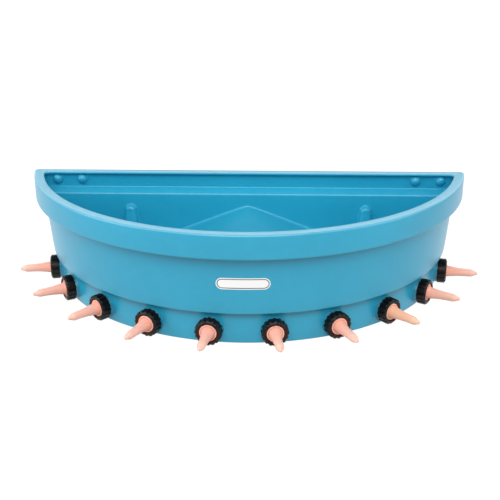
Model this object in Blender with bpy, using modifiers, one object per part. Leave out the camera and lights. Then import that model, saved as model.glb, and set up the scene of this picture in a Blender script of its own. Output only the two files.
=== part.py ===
"""Half-moon milk feeder: a moulded trough with ten rubber teats held on by union nuts.

Metres, +Z up. X runs along the straight back, the teats face -Y, and the origin is under the
middle of the whole feeder, teats included, on the plane that it stands on. Insets are measured
inwards from the outer face of the band under the rim. Along a teat, sizes are measured outwards
from the flat face of its boss.
"""

import math

import bmesh
import bpy
from mathutils import Matrix, Vector

# Outline of the band, seen from above
ARC_RADIUS = 0.540
TROUGH_DEPTH = 0.458
CORNER_RADIUS = 0.008
INNER_CORNER_RADIUS = 0.010

# Heights of the trough wall
TROUGH_HEIGHT = 0.270
BAND_HEIGHT = 0.0555

# Insets of the outer wall: front, then back
BODY_TOP_INSET = 0.0216
BODY_FOOT_INSET = 0.0337
SKIRT_TOP_INSET = 0.0455
SKIRT_FOOT_INSET = 0.0484
BACK_TOP_INSET = 0.0285
BACK_FOOT_INSET = 0.0310

# Edges and thicknesses of the trough wall
WALL = 0.0055
FLOOR = 0.006
RIM_ROUND = 0.006
BAND_ROUND = 0.005
UNDER_BAND_FILLET = 0.006
BASE_ROUND = 0.008
BACK_BASE_ROUND = 0.0025
STEP_ROUND = 0.003
FLOOR_ROUND = 0.006

# Inside of the rim: the lip overhangs a strip, and a sloping ledge leads from it to the wall
RIM_WIDTH = 0.024
LIP_THICKNESS = 0.0055
LIP_ROUND = 0.002
STRIP_INSET = 0.014
LEDGE_TOP = 0.0405
LEDGE_FALL = 0.0116

# Floor: half a cone that leans on the back wall and sheds milk into a channel along the front
CONE_HEIGHT = 0.189
CHANNEL_WIDTH = 0.056
SHOULDER_RUN = 0.030
SHOULDER_HEIGHT = 0.0386
CONE_TIP_SHARE = 0.03
CONE_NECK_SHARE = 0.12
CROWN_SHARE = 0.3

# Stiffening ribs inside the back wall, each with a groove behind it
RIB_X = 0.292
RIB_RADIUS = 0.018
RIB_TOP = 0.190

# Threaded inserts for hanging brackets, each in a dome inside the band
INSERT_FROM_END = 0.0597
INSERT_SPACING = 0.0615
INSERT_DEPTH_BELOW_RIM = 0.020
INSERT_RADIUS = 0.0065
INSERT_LENGTH = 0.018
INSERT_BORE = 0.0034
INSERT_BORE_DEPTH = 0.014
DOME_RADIUS = 0.0125

# Teat stations: polar angle on the arc, and how much more than that each teat is turned
TEATS_PER_SIDE = 5
FIRST_ANGLE = math.radians(8.1)
STATION_PITCH = math.radians(16.12)
SPLAY = 1.0836

# Flat bosses on the skirt
BOSS_MARGIN = 0.003
BOSS_PROUD = 0.0058
BOSS_FOOT = 0.001
BOSS_HEAD = 0.0093
BOSS_WALL = 0.0055
RECESS_DEPTH = 0.0105

# Threaded stem that passes through the wall, with its sealing washer
STEM_RADIUS = 0.021
STEM_BORE = 0.016
STEM_LENGTH = 0.0102
STEM_FLANGE_RADIUS = 0.026
STEM_FLANGE = 0.0037
GASKET = 0.0022
RECESS_MARGIN = 0.0016

# Union nut
NUT_RADIUS = 0.030
NUT_LENGTH = 0.0217
NUT_RIBS = 16
NUT_RIB_HEIGHT = 0.0015
NUT_RIB_SHARE = 0.56
NUT_CHAMFER = 0.0035
NUT_RING_OUTER = 0.0250
NUT_RING_INNER = 0.0228
NUT_DISH_DEPTH = 0.0055
NUT_PLATE = 0.003

# Teat
TEAT_REACH = 0.0974
TEAT_FLANGE_RADIUS = 0.0206
TEAT_FLANGE = 0.0027
TEAT_NECK_RADIUS = 0.0165
TEAT_COLLAR_RADIUS = 0.0192
TEAT_COLLAR = 0.0027
TEAT_BASE_RADIUS = 0.0150
TEAT_ROOT_RADIUS = 0.0135
TEAT_ROOT_SHARE = 0.08
TEAT_WAIST_RADIUS = 0.0101
TEAT_WAIST_SHARE = 0.45
TEAT_END_RADIUS = 0.0088
TEAT_END_SHARE = 0.92
TEAT_NUB_RADIUS = 0.0035
TEAT_NUB_LENGTH = 0.0095
TEAT_NUB_TAPER = 0.8
TEAT_RUBBER = 0.0026

# Clearance between pieces that touch
GAP = 0.0003

# Smoothness of the round forms
ARC_STEPS = 30
CORNER_STEPS = 2
CONE_STEPS = 20
BOSS_SIDES = 16
TURNED_SIDES = 12
COLUMN_SIDES = 16
QUARTER_ROUND = (0, 45, 90)
DOME_ROUND = (0, 18, 36, 54, 72, 90)

# Sizes that follow from those above
BOSS_RADIUS = NUT_RADIUS + BOSS_MARGIN
AXIS_HEIGHT = BOSS_FOOT + BOSS_RADIUS
STEP_HEIGHT = AXIS_HEIGHT + BOSS_RADIUS + BOSS_HEAD
BAND_FOOT = TROUGH_HEIGHT - BAND_HEIGHT
BOSS_INSET = SKIRT_FOOT_INSET - BOSS_PROUD
STATION_RADIUS = ARC_RADIUS - BOSS_INSET
ARC_TO_BACK = ARC_RADIUS - TROUGH_DEPTH
BAND_END = math.sqrt(ARC_RADIUS**2 - ARC_TO_BACK**2)
FRONT_TIP = (
    STATION_RADIUS * math.cos(FIRST_ANGLE) + TEAT_REACH * math.cos(SPLAY * FIRST_ANGLE)
)
BACK_Y = (FRONT_TIP - ARC_TO_BACK) / 2
ARC_Y = BACK_Y + ARC_TO_BACK
NUT_PLATE_TOP = GAP + NUT_LENGTH - NUT_DISH_DEPTH
NUT_PLATE_FOOT = NUT_PLATE_TOP - NUT_PLATE
INSERT_HEIGHT = TROUGH_HEIGHT - INSERT_DEPTH_BELOW_RIM
CONE_FOOT_RADIUS = ARC_RADIUS - SKIRT_FOOT_INSET - WALL - CHANNEL_WIDTH
CONE_SHOULDER_RADIUS = CONE_FOOT_RADIUS - SHOULDER_RUN


def clear_scene():
    """Remove everything the start-up file holds."""
    for item in list(bpy.data.objects):
        bpy.data.objects.remove(item, do_unlink=True)


def collection(name):
    """Return a new collection in the scene."""
    made = bpy.data.collections.new(name)
    bpy.context.scene.collection.children.link(made)
    return made


def material(name, colour, roughness, metallic=0.0):
    """Return a plain material with the piece's colour."""
    made = bpy.data.materials.new(name)
    made.use_nodes = True
    shader = made.node_tree.nodes["Principled BSDF"]
    shader.inputs["Base Color"].default_value = (*colour, 1.0)
    shader.inputs["Roughness"].default_value = roughness
    shader.inputs["Metallic"].default_value = metallic
    return made


def place(name, mesh, home, finish=None):
    """Put a mesh in the scene as a named object."""
    made = bpy.data.objects.new(name, mesh)
    home.objects.link(made)
    if finish:
        mesh.materials.clear()
        mesh.materials.append(finish)
    return made


def as_cutter(made):
    """Mark an object as a shape that others are cut or joined with."""
    made.hide_render = True
    made.display_type = "WIRE"
    return made


def mesh_from(name, build):
    """Return a mesh that a function fills through bmesh."""
    shape = bmesh.new()
    build(shape)
    mesh = bpy.data.meshes.new(name)
    bmesh.ops.recalc_face_normals(shape, faces=shape.faces)
    shape.to_mesh(mesh)
    shape.free()
    return mesh


def smooth(mesh, angle=30):
    """Shade a mesh smooth up to the edges that turn more than the angle."""
    mesh.shade_smooth()
    mesh.set_sharp_from_angle(angle=math.radians(angle))


def boolean(target, tool, operation):
    """Cut or join one object with another."""
    step = target.modifiers.new(tool.name, "BOOLEAN")
    step.object = tool
    step.operation = operation
    step.solver = "EXACT"


def frozen_mesh(made, name):
    """Return the object's mesh with its modifiers worked in, and remove the object."""
    graph = bpy.context.evaluated_depsgraph_get()
    mesh = bpy.data.meshes.new_from_object(made.evaluated_get(graph))
    mesh.name = name
    bpy.data.objects.remove(made, do_unlink=True)
    smooth(mesh)
    return mesh


def turned(name, profile, sides, home, closed=False):
    """Turn a profile of (radius, height) points, outer side from top to bottom, about Z."""
    mesh = bpy.data.meshes.new(name)
    edges = [(i, i + 1) for i in range(len(profile) - 1)]
    if closed:
        edges.append((len(profile) - 1, 0))
    mesh.from_pydata([(radius, 0.0, height) for radius, height in profile], edges, [])
    made = place(name, mesh, home)
    spin = made.modifiers.new("spin", "SCREW")
    spin.axis = "Z"
    spin.angle = 2 * math.pi
    spin.steps = sides
    spin.render_steps = sides
    spin.use_merge_vertices = True
    spin.merge_threshold = 0.00001
    spin.use_smooth_shade = True
    return made


def bore_radius(shaft, sides):
    """Return the corner radius of a bore whose flats clear a round shaft by the gap."""
    return (shaft + GAP) / math.cos(math.pi / sides)


def plan_ring(front_inset, back_inset, height, corner):
    """Return one level of the half-moon outline, with rounded upright corners."""
    arc = ARC_RADIUS - front_inset
    back = BACK_Y - back_inset
    centre_y = back - corner
    centre_x = math.sqrt((arc - corner) ** 2 - (centre_y - ARC_Y) ** 2)
    end = math.atan2(centre_x, ARC_Y - centre_y)
    ring = []
    for step in range(ARC_STEPS + 1):
        turn = end * (2 * step / ARC_STEPS - 1)
        ring.append((arc * math.sin(turn), ARC_Y - arc * math.cos(turn), height))
    right = []
    for step in range(1, CORNER_STEPS + 1):
        turn = end + (math.pi - end) * step / CORNER_STEPS
        x = centre_x + corner * math.sin(turn)
        right.append((x, centre_y - corner * math.cos(turn), height))
    left = [(-x, y, z) for x, y, z in reversed(right)]
    return ring + right + left


def loft(shape, rings):
    """Skin a closed body over rings that all have as many points."""
    levels = [[shape.verts.new(point) for point in ring] for ring in rings]
    count = len(rings[0])
    for low, high in zip(levels, levels[1:]):
        for i in range(count):
            j = (i + 1) % count
            shape.faces.new((low[i], low[j], high[j], high[i]))
    shape.faces.new(reversed(levels[0]))
    shape.faces.new(levels[-1])


def back_inset_at(height):
    """Return the outer back wall's inset at a height below the band."""
    share = height / BAND_FOOT
    return BACK_FOOT_INSET + (BACK_TOP_INSET - BACK_FOOT_INSET) * share


def skirt_inset_at(height):
    """Return the outer front wall's inset at a height below the step."""
    share = height / STEP_HEIGHT
    return SKIRT_FOOT_INSET + (SKIRT_TOP_INSET - SKIRT_FOOT_INSET) * share


def body_inset_at(height):
    """Return the outer front wall's inset at a height between the step and the band."""
    share = (height - STEP_HEIGHT) / (BAND_FOOT - STEP_HEIGHT)
    return BODY_FOOT_INSET + (BODY_TOP_INSET - BODY_FOOT_INSET) * share


def outer_levels():
    """Return the outside of the trough as (front inset, back inset, height), foot to rim."""
    levels = []
    for turn in QUARTER_ROUND:
        share = 1 - math.sin(math.radians(turn))
        height = BASE_ROUND * (1 - math.cos(math.radians(turn)))
        front = skirt_inset_at(height) + BASE_ROUND * share
        levels.append((front, back_inset_at(height) + BACK_BASE_ROUND * share, height))
    height = STEP_HEIGHT - STEP_ROUND
    levels.append((skirt_inset_at(height), back_inset_at(height), height))
    for turn in QUARTER_ROUND:
        front = BODY_FOOT_INSET + STEP_ROUND * (1 - math.sin(math.radians(turn)))
        height = STEP_HEIGHT + STEP_ROUND * (1 - math.cos(math.radians(turn)))
        levels.append((front, back_inset_at(height), height))
    height = BAND_FOOT - UNDER_BAND_FILLET
    levels.append((body_inset_at(height), back_inset_at(height), height))
    fillet_end = (BODY_TOP_INSET - UNDER_BAND_FILLET, BACK_TOP_INSET - UNDER_BAND_FILLET)
    levels.append((*fillet_end, BAND_FOOT))
    for turn in QUARTER_ROUND:
        inset = BAND_ROUND * (1 - math.sin(math.radians(turn)))
        height = BAND_FOOT + BAND_ROUND * (1 - math.cos(math.radians(turn)))
        levels.append((inset, inset, height))
    for turn in QUARTER_ROUND:
        inset = RIM_ROUND * (1 - math.cos(math.radians(turn)))
        height = TROUGH_HEIGHT - RIM_ROUND * (1 - math.sin(math.radians(turn)))
        levels.append((inset, inset, height))
    return levels


def inner_levels():
    """Return the inside of the trough as (front inset, back inset, height), floor to rim."""
    levels = []
    for turn in QUARTER_ROUND:
        inwards = FLOOR_ROUND * (1 - math.sin(math.radians(turn)))
        height = FLOOR + FLOOR_ROUND * (1 - math.cos(math.radians(turn)))
        front = skirt_inset_at(height) + WALL + inwards
        levels.append((front, back_inset_at(height) + WALL + inwards, height))
    step_foot = STEP_HEIGHT - STEP_ROUND / 2
    step_head = STEP_HEIGHT + WALL + STEP_ROUND / 2
    front = skirt_inset_at(step_foot) + WALL
    levels.append((front, back_inset_at(step_foot) + WALL, step_foot))
    front = (front + BODY_FOOT_INSET + WALL) / 2
    middle = (step_foot + step_head) / 2
    levels.append((front, back_inset_at(middle) + WALL, middle))
    levels.append((BODY_FOOT_INSET + WALL, back_inset_at(step_head) + WALL, step_head))
    ledge_top = TROUGH_HEIGHT - LEDGE_TOP
    levels.append((BODY_TOP_INSET + WALL, BACK_TOP_INSET + WALL, ledge_top - LEDGE_FALL))
    levels.append((STRIP_INSET, STRIP_INSET, ledge_top))
    lip_foot = TROUGH_HEIGHT - LIP_THICKNESS
    low_round, high_round = LIP_ROUND / 2, LIP_ROUND / 3
    lip = [
        (STRIP_INSET, lip_foot),
        (RIM_WIDTH - low_round, lip_foot),
        (RIM_WIDTH, lip_foot + low_round),
        (RIM_WIDTH, TROUGH_HEIGHT - LIP_ROUND),
        (RIM_WIDTH - high_round, TROUGH_HEIGHT - high_round),
        (RIM_WIDTH - LIP_ROUND - high_round, TROUGH_HEIGHT + high_round),
    ]
    levels += [(inset, inset, height) for inset, height in lip]
    return levels


def cone_ring(arc, back_y, height):
    """Return a half-disc outline about the arc's centre, cut off at the plane back_y."""
    end = math.acos((ARC_Y - back_y) / arc)
    ring = []
    for step in range(CONE_STEPS + 1):
        turn = end * (2 * step / CONE_STEPS - 1)
        ring.append(Vector((arc * math.sin(turn), ARC_Y - arc * math.cos(turn), height)))
    return ring


def cone_rings(foot, shoulder, tip_height, back_y):
    """Return the levels of the half cone: foot, shoulder, then shrinking towards its tip."""
    tip = Vector((0, back_y, tip_height))
    rim = cone_ring(shoulder[0], back_y, shoulder[1])
    rings = [cone_ring(foot[0], back_y, foot[1]), rim]
    for share in (CONE_NECK_SHARE, CONE_TIP_SHARE):
        rings.append([tip + (point - tip) * share for point in rim])
    middle = sum(rings[-1], Vector()) / len(rings[-1])
    crown = Vector((0, 0, (tip_height - rings[-1][0].z) * CROWN_SHARE))
    rings.append([middle + (point - middle) * CROWN_SHARE + crown for point in rings[-1]])
    return rings


def moved_in(first, corner, last, distance):
    """Return the corner of a bent line after both its stretches are moved in by a distance."""
    normals = []
    for start, end in ((first, corner), (corner, last)):
        run = (Vector(end) - Vector(start)).normalized()
        normals.append(Vector((run.y, -run.x)))
    square = Matrix((normals[0], normals[1]))
    return Vector(corner) + square.inverted() @ Vector((-distance, -distance))


def hump(home):
    """Return the half cone that stands on the trough's floor."""
    back_y = BACK_Y - BACK_TOP_INSET - WALL / 2
    foot = (CONE_FOOT_RADIUS, FLOOR)
    shoulder = (CONE_SHOULDER_RADIUS, SHOULDER_HEIGHT)
    rings = cone_rings(foot, shoulder, CONE_HEIGHT, back_y)
    buried = [point - Vector((0, 0, FLOOR / 2)) for point in rings[0]]
    mesh = mesh_from("hump", lambda shape: loft(shape, [buried] + rings))
    return as_cutter(place("hump", mesh, home))


def under_hollow(home):
    """Return the space under the half cone, open at the bottom, that leaves a skin of one wall."""
    back_y = BACK_Y - BACK_FOOT_INSET - WALL
    foot = (CONE_FOOT_RADIUS, FLOOR)
    shoulder = (CONE_SHOULDER_RADIUS, SHOULDER_HEIGHT)
    tip = (ARC_Y - back_y, CONE_HEIGHT)
    corner = moved_in(foot, shoulder, tip, WALL)
    slope = (foot[0] - shoulder[0]) / (shoulder[1] - foot[1])
    open_foot = (corner.x + slope * corner.y, 0.0)
    lean = math.atan2(CONE_HEIGHT - SHOULDER_HEIGHT, CONE_SHOULDER_RADIUS - tip[0])
    tip_height = CONE_HEIGHT - WALL / math.cos(lean) - WALL * math.tan(lean) / 2
    rings = cone_rings(open_foot, tuple(corner), tip_height, back_y)
    below = [point - Vector((0, 0, FLOOR)) for point in rings[0]]
    mesh = mesh_from("under_hollow", lambda shape: loft(shape, [below] + rings))
    return as_cutter(place("under_hollow", mesh, home))


def column(name, radius, top, foot, home):
    """Return an upright round column with a domed top."""
    profile = []
    for turn in DOME_ROUND:
        lean = math.radians(turn)
        profile.append((radius * math.sin(lean), top - radius * (1 - math.cos(lean))))
    profile += [(radius, foot), (0.0, foot)]
    return turned(name, profile, COLUMN_SIDES, home)


def stations():
    """Yield each teat's number, the middle of its boss face and the turn of its axis."""
    count = 2 * TEATS_PER_SIDE
    for index in range(count):
        steps = index - (count - 1) / 2
        side = math.copysign(1, steps)
        polar = side * (FIRST_ANGLE + (abs(steps) - 0.5) * STATION_PITCH)
        x = STATION_RADIUS * math.sin(polar)
        y = ARC_Y - STATION_RADIUS * math.cos(polar)
        yield index + 1, Vector((x, y, AXIS_HEIGHT)), polar * SPLAY


def station_matrix(middle, turn):
    """Return the frame of a station, with Z along the teat and its zero on the boss face."""
    upright = Matrix.Rotation(math.pi / 2, 4, "X")
    return Matrix.Translation(middle) @ Matrix.Rotation(turn, 4, "Z") @ upright


def station_discs(name, radius, ends, sides, home):
    """Return one round disc at every station, between two heights along the teat."""
    inner, outer = ends

    def build(shape):
        for _, middle, turn in stations():
            lift = Matrix.Translation((0, 0, (inner + outer) / 2))
            bmesh.ops.create_cone(
                shape,
                cap_ends=True,
                segments=sides,
                radius1=radius,
                radius2=radius,
                depth=outer - inner,
                matrix=station_matrix(middle, turn) @ lift,
            )

    return as_cutter(place(name, mesh_from(name, build), home))


def insert_places():
    """Yield each bracket insert's number and the middle of its outer face."""
    outer = BAND_END - INSERT_FROM_END
    inner = outer - INSERT_SPACING
    for number, x in enumerate((-outer, -inner, inner, outer), start=1):
        yield number, Vector((x, BACK_Y, INSERT_HEIGHT))


def domes(home):
    """Return the domes inside the band that hold the inserts."""

    def build(shape):
        for _, face in insert_places():
            middle = face - Vector((0, STRIP_INSET - GAP, 0))
            bmesh.ops.create_uvsphere(
                shape,
                u_segments=TURNED_SIDES,
                v_segments=TURNED_SIDES // 2,
                radius=DOME_RADIUS,
                matrix=Matrix.Translation(middle) @ Matrix.Rotation(math.pi / 2, 4, "X"),
            )

    return as_cutter(place("domes", mesh_from("domes", build), home))


def insert_pockets(home):
    """Return the pockets in the back of the band that the inserts sit in."""
    radius = bore_radius(INSERT_RADIUS, TURNED_SIDES)
    reach = INSERT_LENGTH + 2 * GAP

    def build(shape):
        for _, face in insert_places():
            bmesh.ops.create_cone(
                shape,
                cap_ends=True,
                segments=TURNED_SIDES,
                radius1=radius,
                radius2=radius,
                depth=2 * reach,
                matrix=Matrix.Translation(face) @ Matrix.Rotation(math.pi / 2, 4, "X"),
            )

    return as_cutter(place("insert_pockets", mesh_from("insert_pockets", build), home))


def add_pair(shape, blank):
    """Add a rib's column to a mesh twice, left and right, on the inner face of the back wall."""
    for side in (-1, 1):
        start = len(shape.verts)
        shape.from_mesh(blank)
        shape.verts.ensure_lookup_table()
        move = Vector((side * RIB_X, BACK_Y - BACK_TOP_INSET - WALL, 0))
        bmesh.ops.translate(shape, vec=move, verts=shape.verts[start:])


def ribs(home):
    """Return the two stiffening ribs, cut off inside the thickness of the back wall."""
    raw = column("rib_blank", RIB_RADIUS, RIB_TOP, FLOOR / 2, home)
    blank = frozen_mesh(raw, "rib_blank")
    plane = BACK_Y - BACK_FOOT_INSET - WALL / 3

    def build(shape):
        add_pair(shape, blank)
        found = bmesh.ops.bisect_plane(
            shape,
            geom=shape.verts[:] + shape.edges[:] + shape.faces[:],
            plane_co=(0, plane, 0),
            plane_no=(0, 1, 0),
            clear_outer=True,
        )
        cut = [item for item in found["geom_cut"] if isinstance(item, bmesh.types.BMEdge)]
        bmesh.ops.holes_fill(shape, edges=cut)

    return as_cutter(place("ribs", mesh_from("ribs", build), home))


def rib_grooves(home):
    """Return the grooves behind the ribs, open to the back and at the foot."""
    raw = column("groove_blank", RIB_RADIUS - WALL, RIB_TOP - WALL, -FLOOR, home)
    blank = frozen_mesh(raw, "groove_blank")
    mesh = mesh_from("rib_grooves", lambda shape: add_pair(shape, blank))
    return as_cutter(place("rib_grooves", mesh, home))


def trough_body(home, cutters, finish):
    """Model the moulded trough: stepped wall, rim, conical floor, ribs, bosses and holes."""
    outer = [plan_ring(*level, CORNER_RADIUS) for level in outer_levels()]
    blank = mesh_from("trough_body", lambda shape: loft(shape, outer))
    trough = place("trough_body", blank, home, finish)

    inner = [plan_ring(*level, INNER_CORNER_RADIUS) for level in inner_levels()]
    hollow = mesh_from("cavity", lambda shape: loft(shape, inner))
    cavity = as_cutter(place("cavity", hollow, cutters))
    boolean(cavity, hump(cutters), "DIFFERENCE")

    boss_depth = BOSS_PROUD + WALL
    recess_radius = STEM_FLANGE_RADIUS + RECESS_MARGIN
    recess_foot = -BOSS_WALL - RECESS_DEPTH
    hole_radius = bore_radius(STEM_RADIUS, TURNED_SIDES)
    hole_reach = boss_depth + RECESS_DEPTH
    bosses = station_discs("bosses", BOSS_RADIUS, (-boss_depth, 0.0), BOSS_SIDES, cutters)
    recess = (recess_foot, -BOSS_WALL)
    recesses = station_discs("recesses", recess_radius, recess, BOSS_SIDES, cutters)
    through = (-hole_reach, hole_reach)
    holes = station_discs("stem_holes", hole_radius, through, TURNED_SIDES, cutters)

    boolean(trough, bosses, "UNION")
    boolean(trough, cavity, "DIFFERENCE")
    boolean(trough, under_hollow(cutters), "DIFFERENCE")
    boolean(trough, ribs(cutters), "UNION")
    boolean(trough, rib_grooves(cutters), "DIFFERENCE")
    boolean(trough, domes(cutters), "UNION")
    boolean(trough, insert_pockets(cutters), "DIFFERENCE")
    boolean(trough, recesses, "DIFFERENCE")
    boolean(trough, holes, "DIFFERENCE")
    smooth(trough.data)
    return trough


def stem_mesh(cutters):
    """Return the threaded stem: a short tube with a flange inside the trough."""
    flange_top = -BOSS_WALL - GAP - GASKET - GAP
    profile = [
        (STEM_BORE, STEM_LENGTH),
        (STEM_RADIUS, STEM_LENGTH),
        (STEM_RADIUS, flange_top),
        (STEM_FLANGE_RADIUS, flange_top),
        (STEM_FLANGE_RADIUS, flange_top - STEM_FLANGE),
        (STEM_BORE, flange_top - STEM_FLANGE),
    ]
    return frozen_mesh(turned("stem", profile, TURNED_SIDES, cutters, closed=True), "stem")


def gasket_mesh(cutters):
    """Return the flat washer between the boss and the stem's flange."""
    bore = bore_radius(STEM_RADIUS, TURNED_SIDES)
    top = -BOSS_WALL - GAP
    profile = [
        (bore, top),
        (STEM_FLANGE_RADIUS, top),
        (STEM_FLANGE_RADIUS, top - GASKET),
        (bore, top - GASKET),
    ]
    return frozen_mesh(turned("gasket", profile, TURNED_SIDES, cutters, closed=True), "gasket")


def nut_outline(cutters):
    """Return the nut's ribbed outline as a flat curve given the nut's length."""
    curve = bpy.data.curves.new("nut_outline", "CURVE")
    curve.dimensions = "2D"
    curve.fill_mode = "BOTH"
    curve.extrude = NUT_LENGTH
    line = curve.splines.new("POLY")
    pitch = 2 * math.pi / NUT_RIBS
    half = pitch * NUT_RIB_SHARE / 2
    groove = NUT_RADIUS - NUT_RIB_HEIGHT
    slant = NUT_RIB_HEIGHT / NUT_RADIUS
    points = []
    tooth = ((-half - slant, groove), (-half, NUT_RADIUS), (half, NUT_RADIUS), (half + slant, groove))
    for rib in range(NUT_RIBS):
        for offset, radius in tooth:
            turn = rib * pitch + offset
            points.append((radius * math.cos(turn), radius * math.sin(turn)))
    line.points.add(len(points) - 1)
    for point, (x, y) in zip(line.points, points):
        point.co = (x, y, 0, 1)
    line.use_cyclic_u = True
    made = bpy.data.objects.new("nut_outline", curve)
    cutters.objects.link(made)
    graph = bpy.context.evaluated_depsgraph_get()
    mesh = bpy.data.meshes.new_from_object(made.evaluated_get(graph))
    shape = bmesh.new()
    shape.from_mesh(mesh)
    bmesh.ops.remove_doubles(shape, verts=shape.verts, dist=0.00001)
    bmesh.ops.recalc_face_normals(shape, faces=shape.faces)
    shape.to_mesh(mesh)
    shape.free()
    bpy.data.objects.remove(made, do_unlink=True)
    return as_cutter(place("nut_outline", mesh, cutters))


def nut_mesh(cutters):
    """Return the union nut: a turned blank with a dished front, trimmed to the ribbed outline."""
    bore = bore_radius(STEM_RADIUS, TURNED_SIDES)
    hole = bore_radius(TEAT_NECK_RADIUS, TURNED_SIDES)
    top = GAP + NUT_LENGTH
    dish = bore_radius(TEAT_COLLAR_RADIUS, TURNED_SIDES)
    blank_radius = bore_radius(NUT_RADIUS, TURNED_SIDES)
    blank = [
        (NUT_RING_INNER, top),
        (NUT_RING_OUTER, top),
        (blank_radius, top - NUT_CHAMFER),
        (blank_radius, GAP),
        (bore, GAP),
        (bore, NUT_PLATE_FOOT),
        (hole, NUT_PLATE_FOOT),
        (hole, NUT_PLATE_TOP),
        (dish, NUT_PLATE_TOP),
    ]
    nut = turned("nut", blank, TURNED_SIDES, cutters, closed=True)
    boolean(nut, nut_outline(cutters), "INTERSECT")
    return frozen_mesh(nut, "nut")


def teat_mesh(cutters):
    """Return the hollow rubber teat, with a flange inside the nut and a collar outside it."""
    flange_foot = NUT_PLATE_FOOT - GAP - TEAT_FLANGE
    collar_foot = NUT_PLATE_TOP + GAP
    collar_top = collar_foot + TEAT_COLLAR
    nub_foot = TEAT_REACH - TEAT_NUB_LENGTH
    length = nub_foot - collar_top
    root = collar_top + length * TEAT_ROOT_SHARE
    waist = collar_top + length * TEAT_WAIST_SHARE
    end = collar_top + length * TEAT_END_SHARE
    edge = TEAT_NUB_RADIUS * (1 - TEAT_NUB_TAPER)
    outer = [
        (0.0, TEAT_REACH),
        (TEAT_NUB_RADIUS - edge, TEAT_REACH - edge),
        (TEAT_NUB_RADIUS, nub_foot),
        (TEAT_END_RADIUS, end),
        (TEAT_WAIST_RADIUS, waist),
        (TEAT_ROOT_RADIUS, root),
        (TEAT_BASE_RADIUS, collar_top),
        (TEAT_COLLAR_RADIUS, collar_top),
        (TEAT_COLLAR_RADIUS, collar_foot),
        (TEAT_NECK_RADIUS, collar_foot),
        (TEAT_NECK_RADIUS, NUT_PLATE_FOOT - GAP),
        (TEAT_FLANGE_RADIUS, NUT_PLATE_FOOT - GAP),
        (TEAT_FLANGE_RADIUS, flange_foot),
    ]
    inner = [
        (TEAT_ROOT_RADIUS - TEAT_RUBBER, flange_foot),
        (TEAT_ROOT_RADIUS - TEAT_RUBBER, root),
        (TEAT_WAIST_RADIUS - TEAT_RUBBER, waist),
        (TEAT_END_RADIUS - TEAT_RUBBER, end),
        (0.0, nub_foot),
    ]
    return frozen_mesh(turned("teat", outer + inner, TURNED_SIDES, cutters), "teat")


def insert_mesh(cutters):
    """Return the threaded insert: a bush with a blind hole from the back."""
    floor = -GAP - INSERT_BORE_DEPTH
    profile = [
        (0.0, floor),
        (INSERT_BORE, floor),
        (INSERT_BORE, -GAP),
        (INSERT_RADIUS, -GAP),
        (INSERT_RADIUS, -GAP - INSERT_LENGTH),
        (0.0, -GAP - INSERT_LENGTH),
    ]
    return frozen_mesh(turned("insert", profile, TURNED_SIDES, cutters), "insert")


def build_stations(home, cutters):
    """Place a stem, washer, teat and nut at every boss, the nut carried by its teat."""
    black = material("black_plastic", (0.012, 0.012, 0.013), 0.38)
    seal = material("seal_rubber", (0.03, 0.03, 0.03), 0.7)
    pink = material("teat_rubber", (0.90, 0.42, 0.30), 0.5)
    stem, gasket = stem_mesh(cutters), gasket_mesh(cutters)
    teat, nut = teat_mesh(cutters), nut_mesh(cutters)
    for number, middle, turn in stations():
        station = bpy.data.objects.new(f"station_{number}", None)
        home.objects.link(station)
        station.location = middle
        station.rotation_euler = (math.pi / 2, 0, turn)
        for name, mesh, finish in (("spigot", stem, black), ("gasket", gasket, seal)):
            made = place(f"{name}_{number}", mesh, home, finish)
            made.parent = station
        held = place(f"teat_{number}", teat, home, pink)
        held.parent = station
        ring = place(f"teat_nut_{number}", nut, home, black)
        ring.parent = held


def build_inserts(home, cutters):
    """Place the bracket inserts in the back of the band."""
    brass = material("brass", (0.75, 0.55, 0.22), 0.35, 1.0)
    mesh = insert_mesh(cutters)
    for number, face in insert_places():
        made = place(f"bracket_insert_{number}", mesh, home, brass)
        made.location = face
        made.rotation_euler = (-math.pi / 2, 0, 0)


def main():
    """Build the feeder."""
    clear_scene()
    home = collection("milk_feeder")
    cutters = collection("cutters")
    blue = material("blue_plastic", (0.068, 0.40, 0.58), 0.42)
    trough_body(home, cutters, blue)
    build_stations(home, cutters)
    build_inserts(home, cutters)


main()
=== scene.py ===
"""Half-moon milk feeder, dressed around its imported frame.

Metres, +Z up. X runs along the straight back and the teats face -Y. An inset is measured inwards
from the outer face of the band under the rim. Along a teat, distances run outwards from the flat
face of its boss.
"""

import logging
import math
from collections.abc import Callable, Iterable, Iterator, Sequence
from dataclasses import dataclass, field
from enum import Enum

import bmesh
import bpy
from bmesh.types import BMEdge, BMesh, BMVert
from bpy.types import Material, Mesh, NodeSocket, Object
from mathutils import Matrix, Quaternion, Vector


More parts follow.
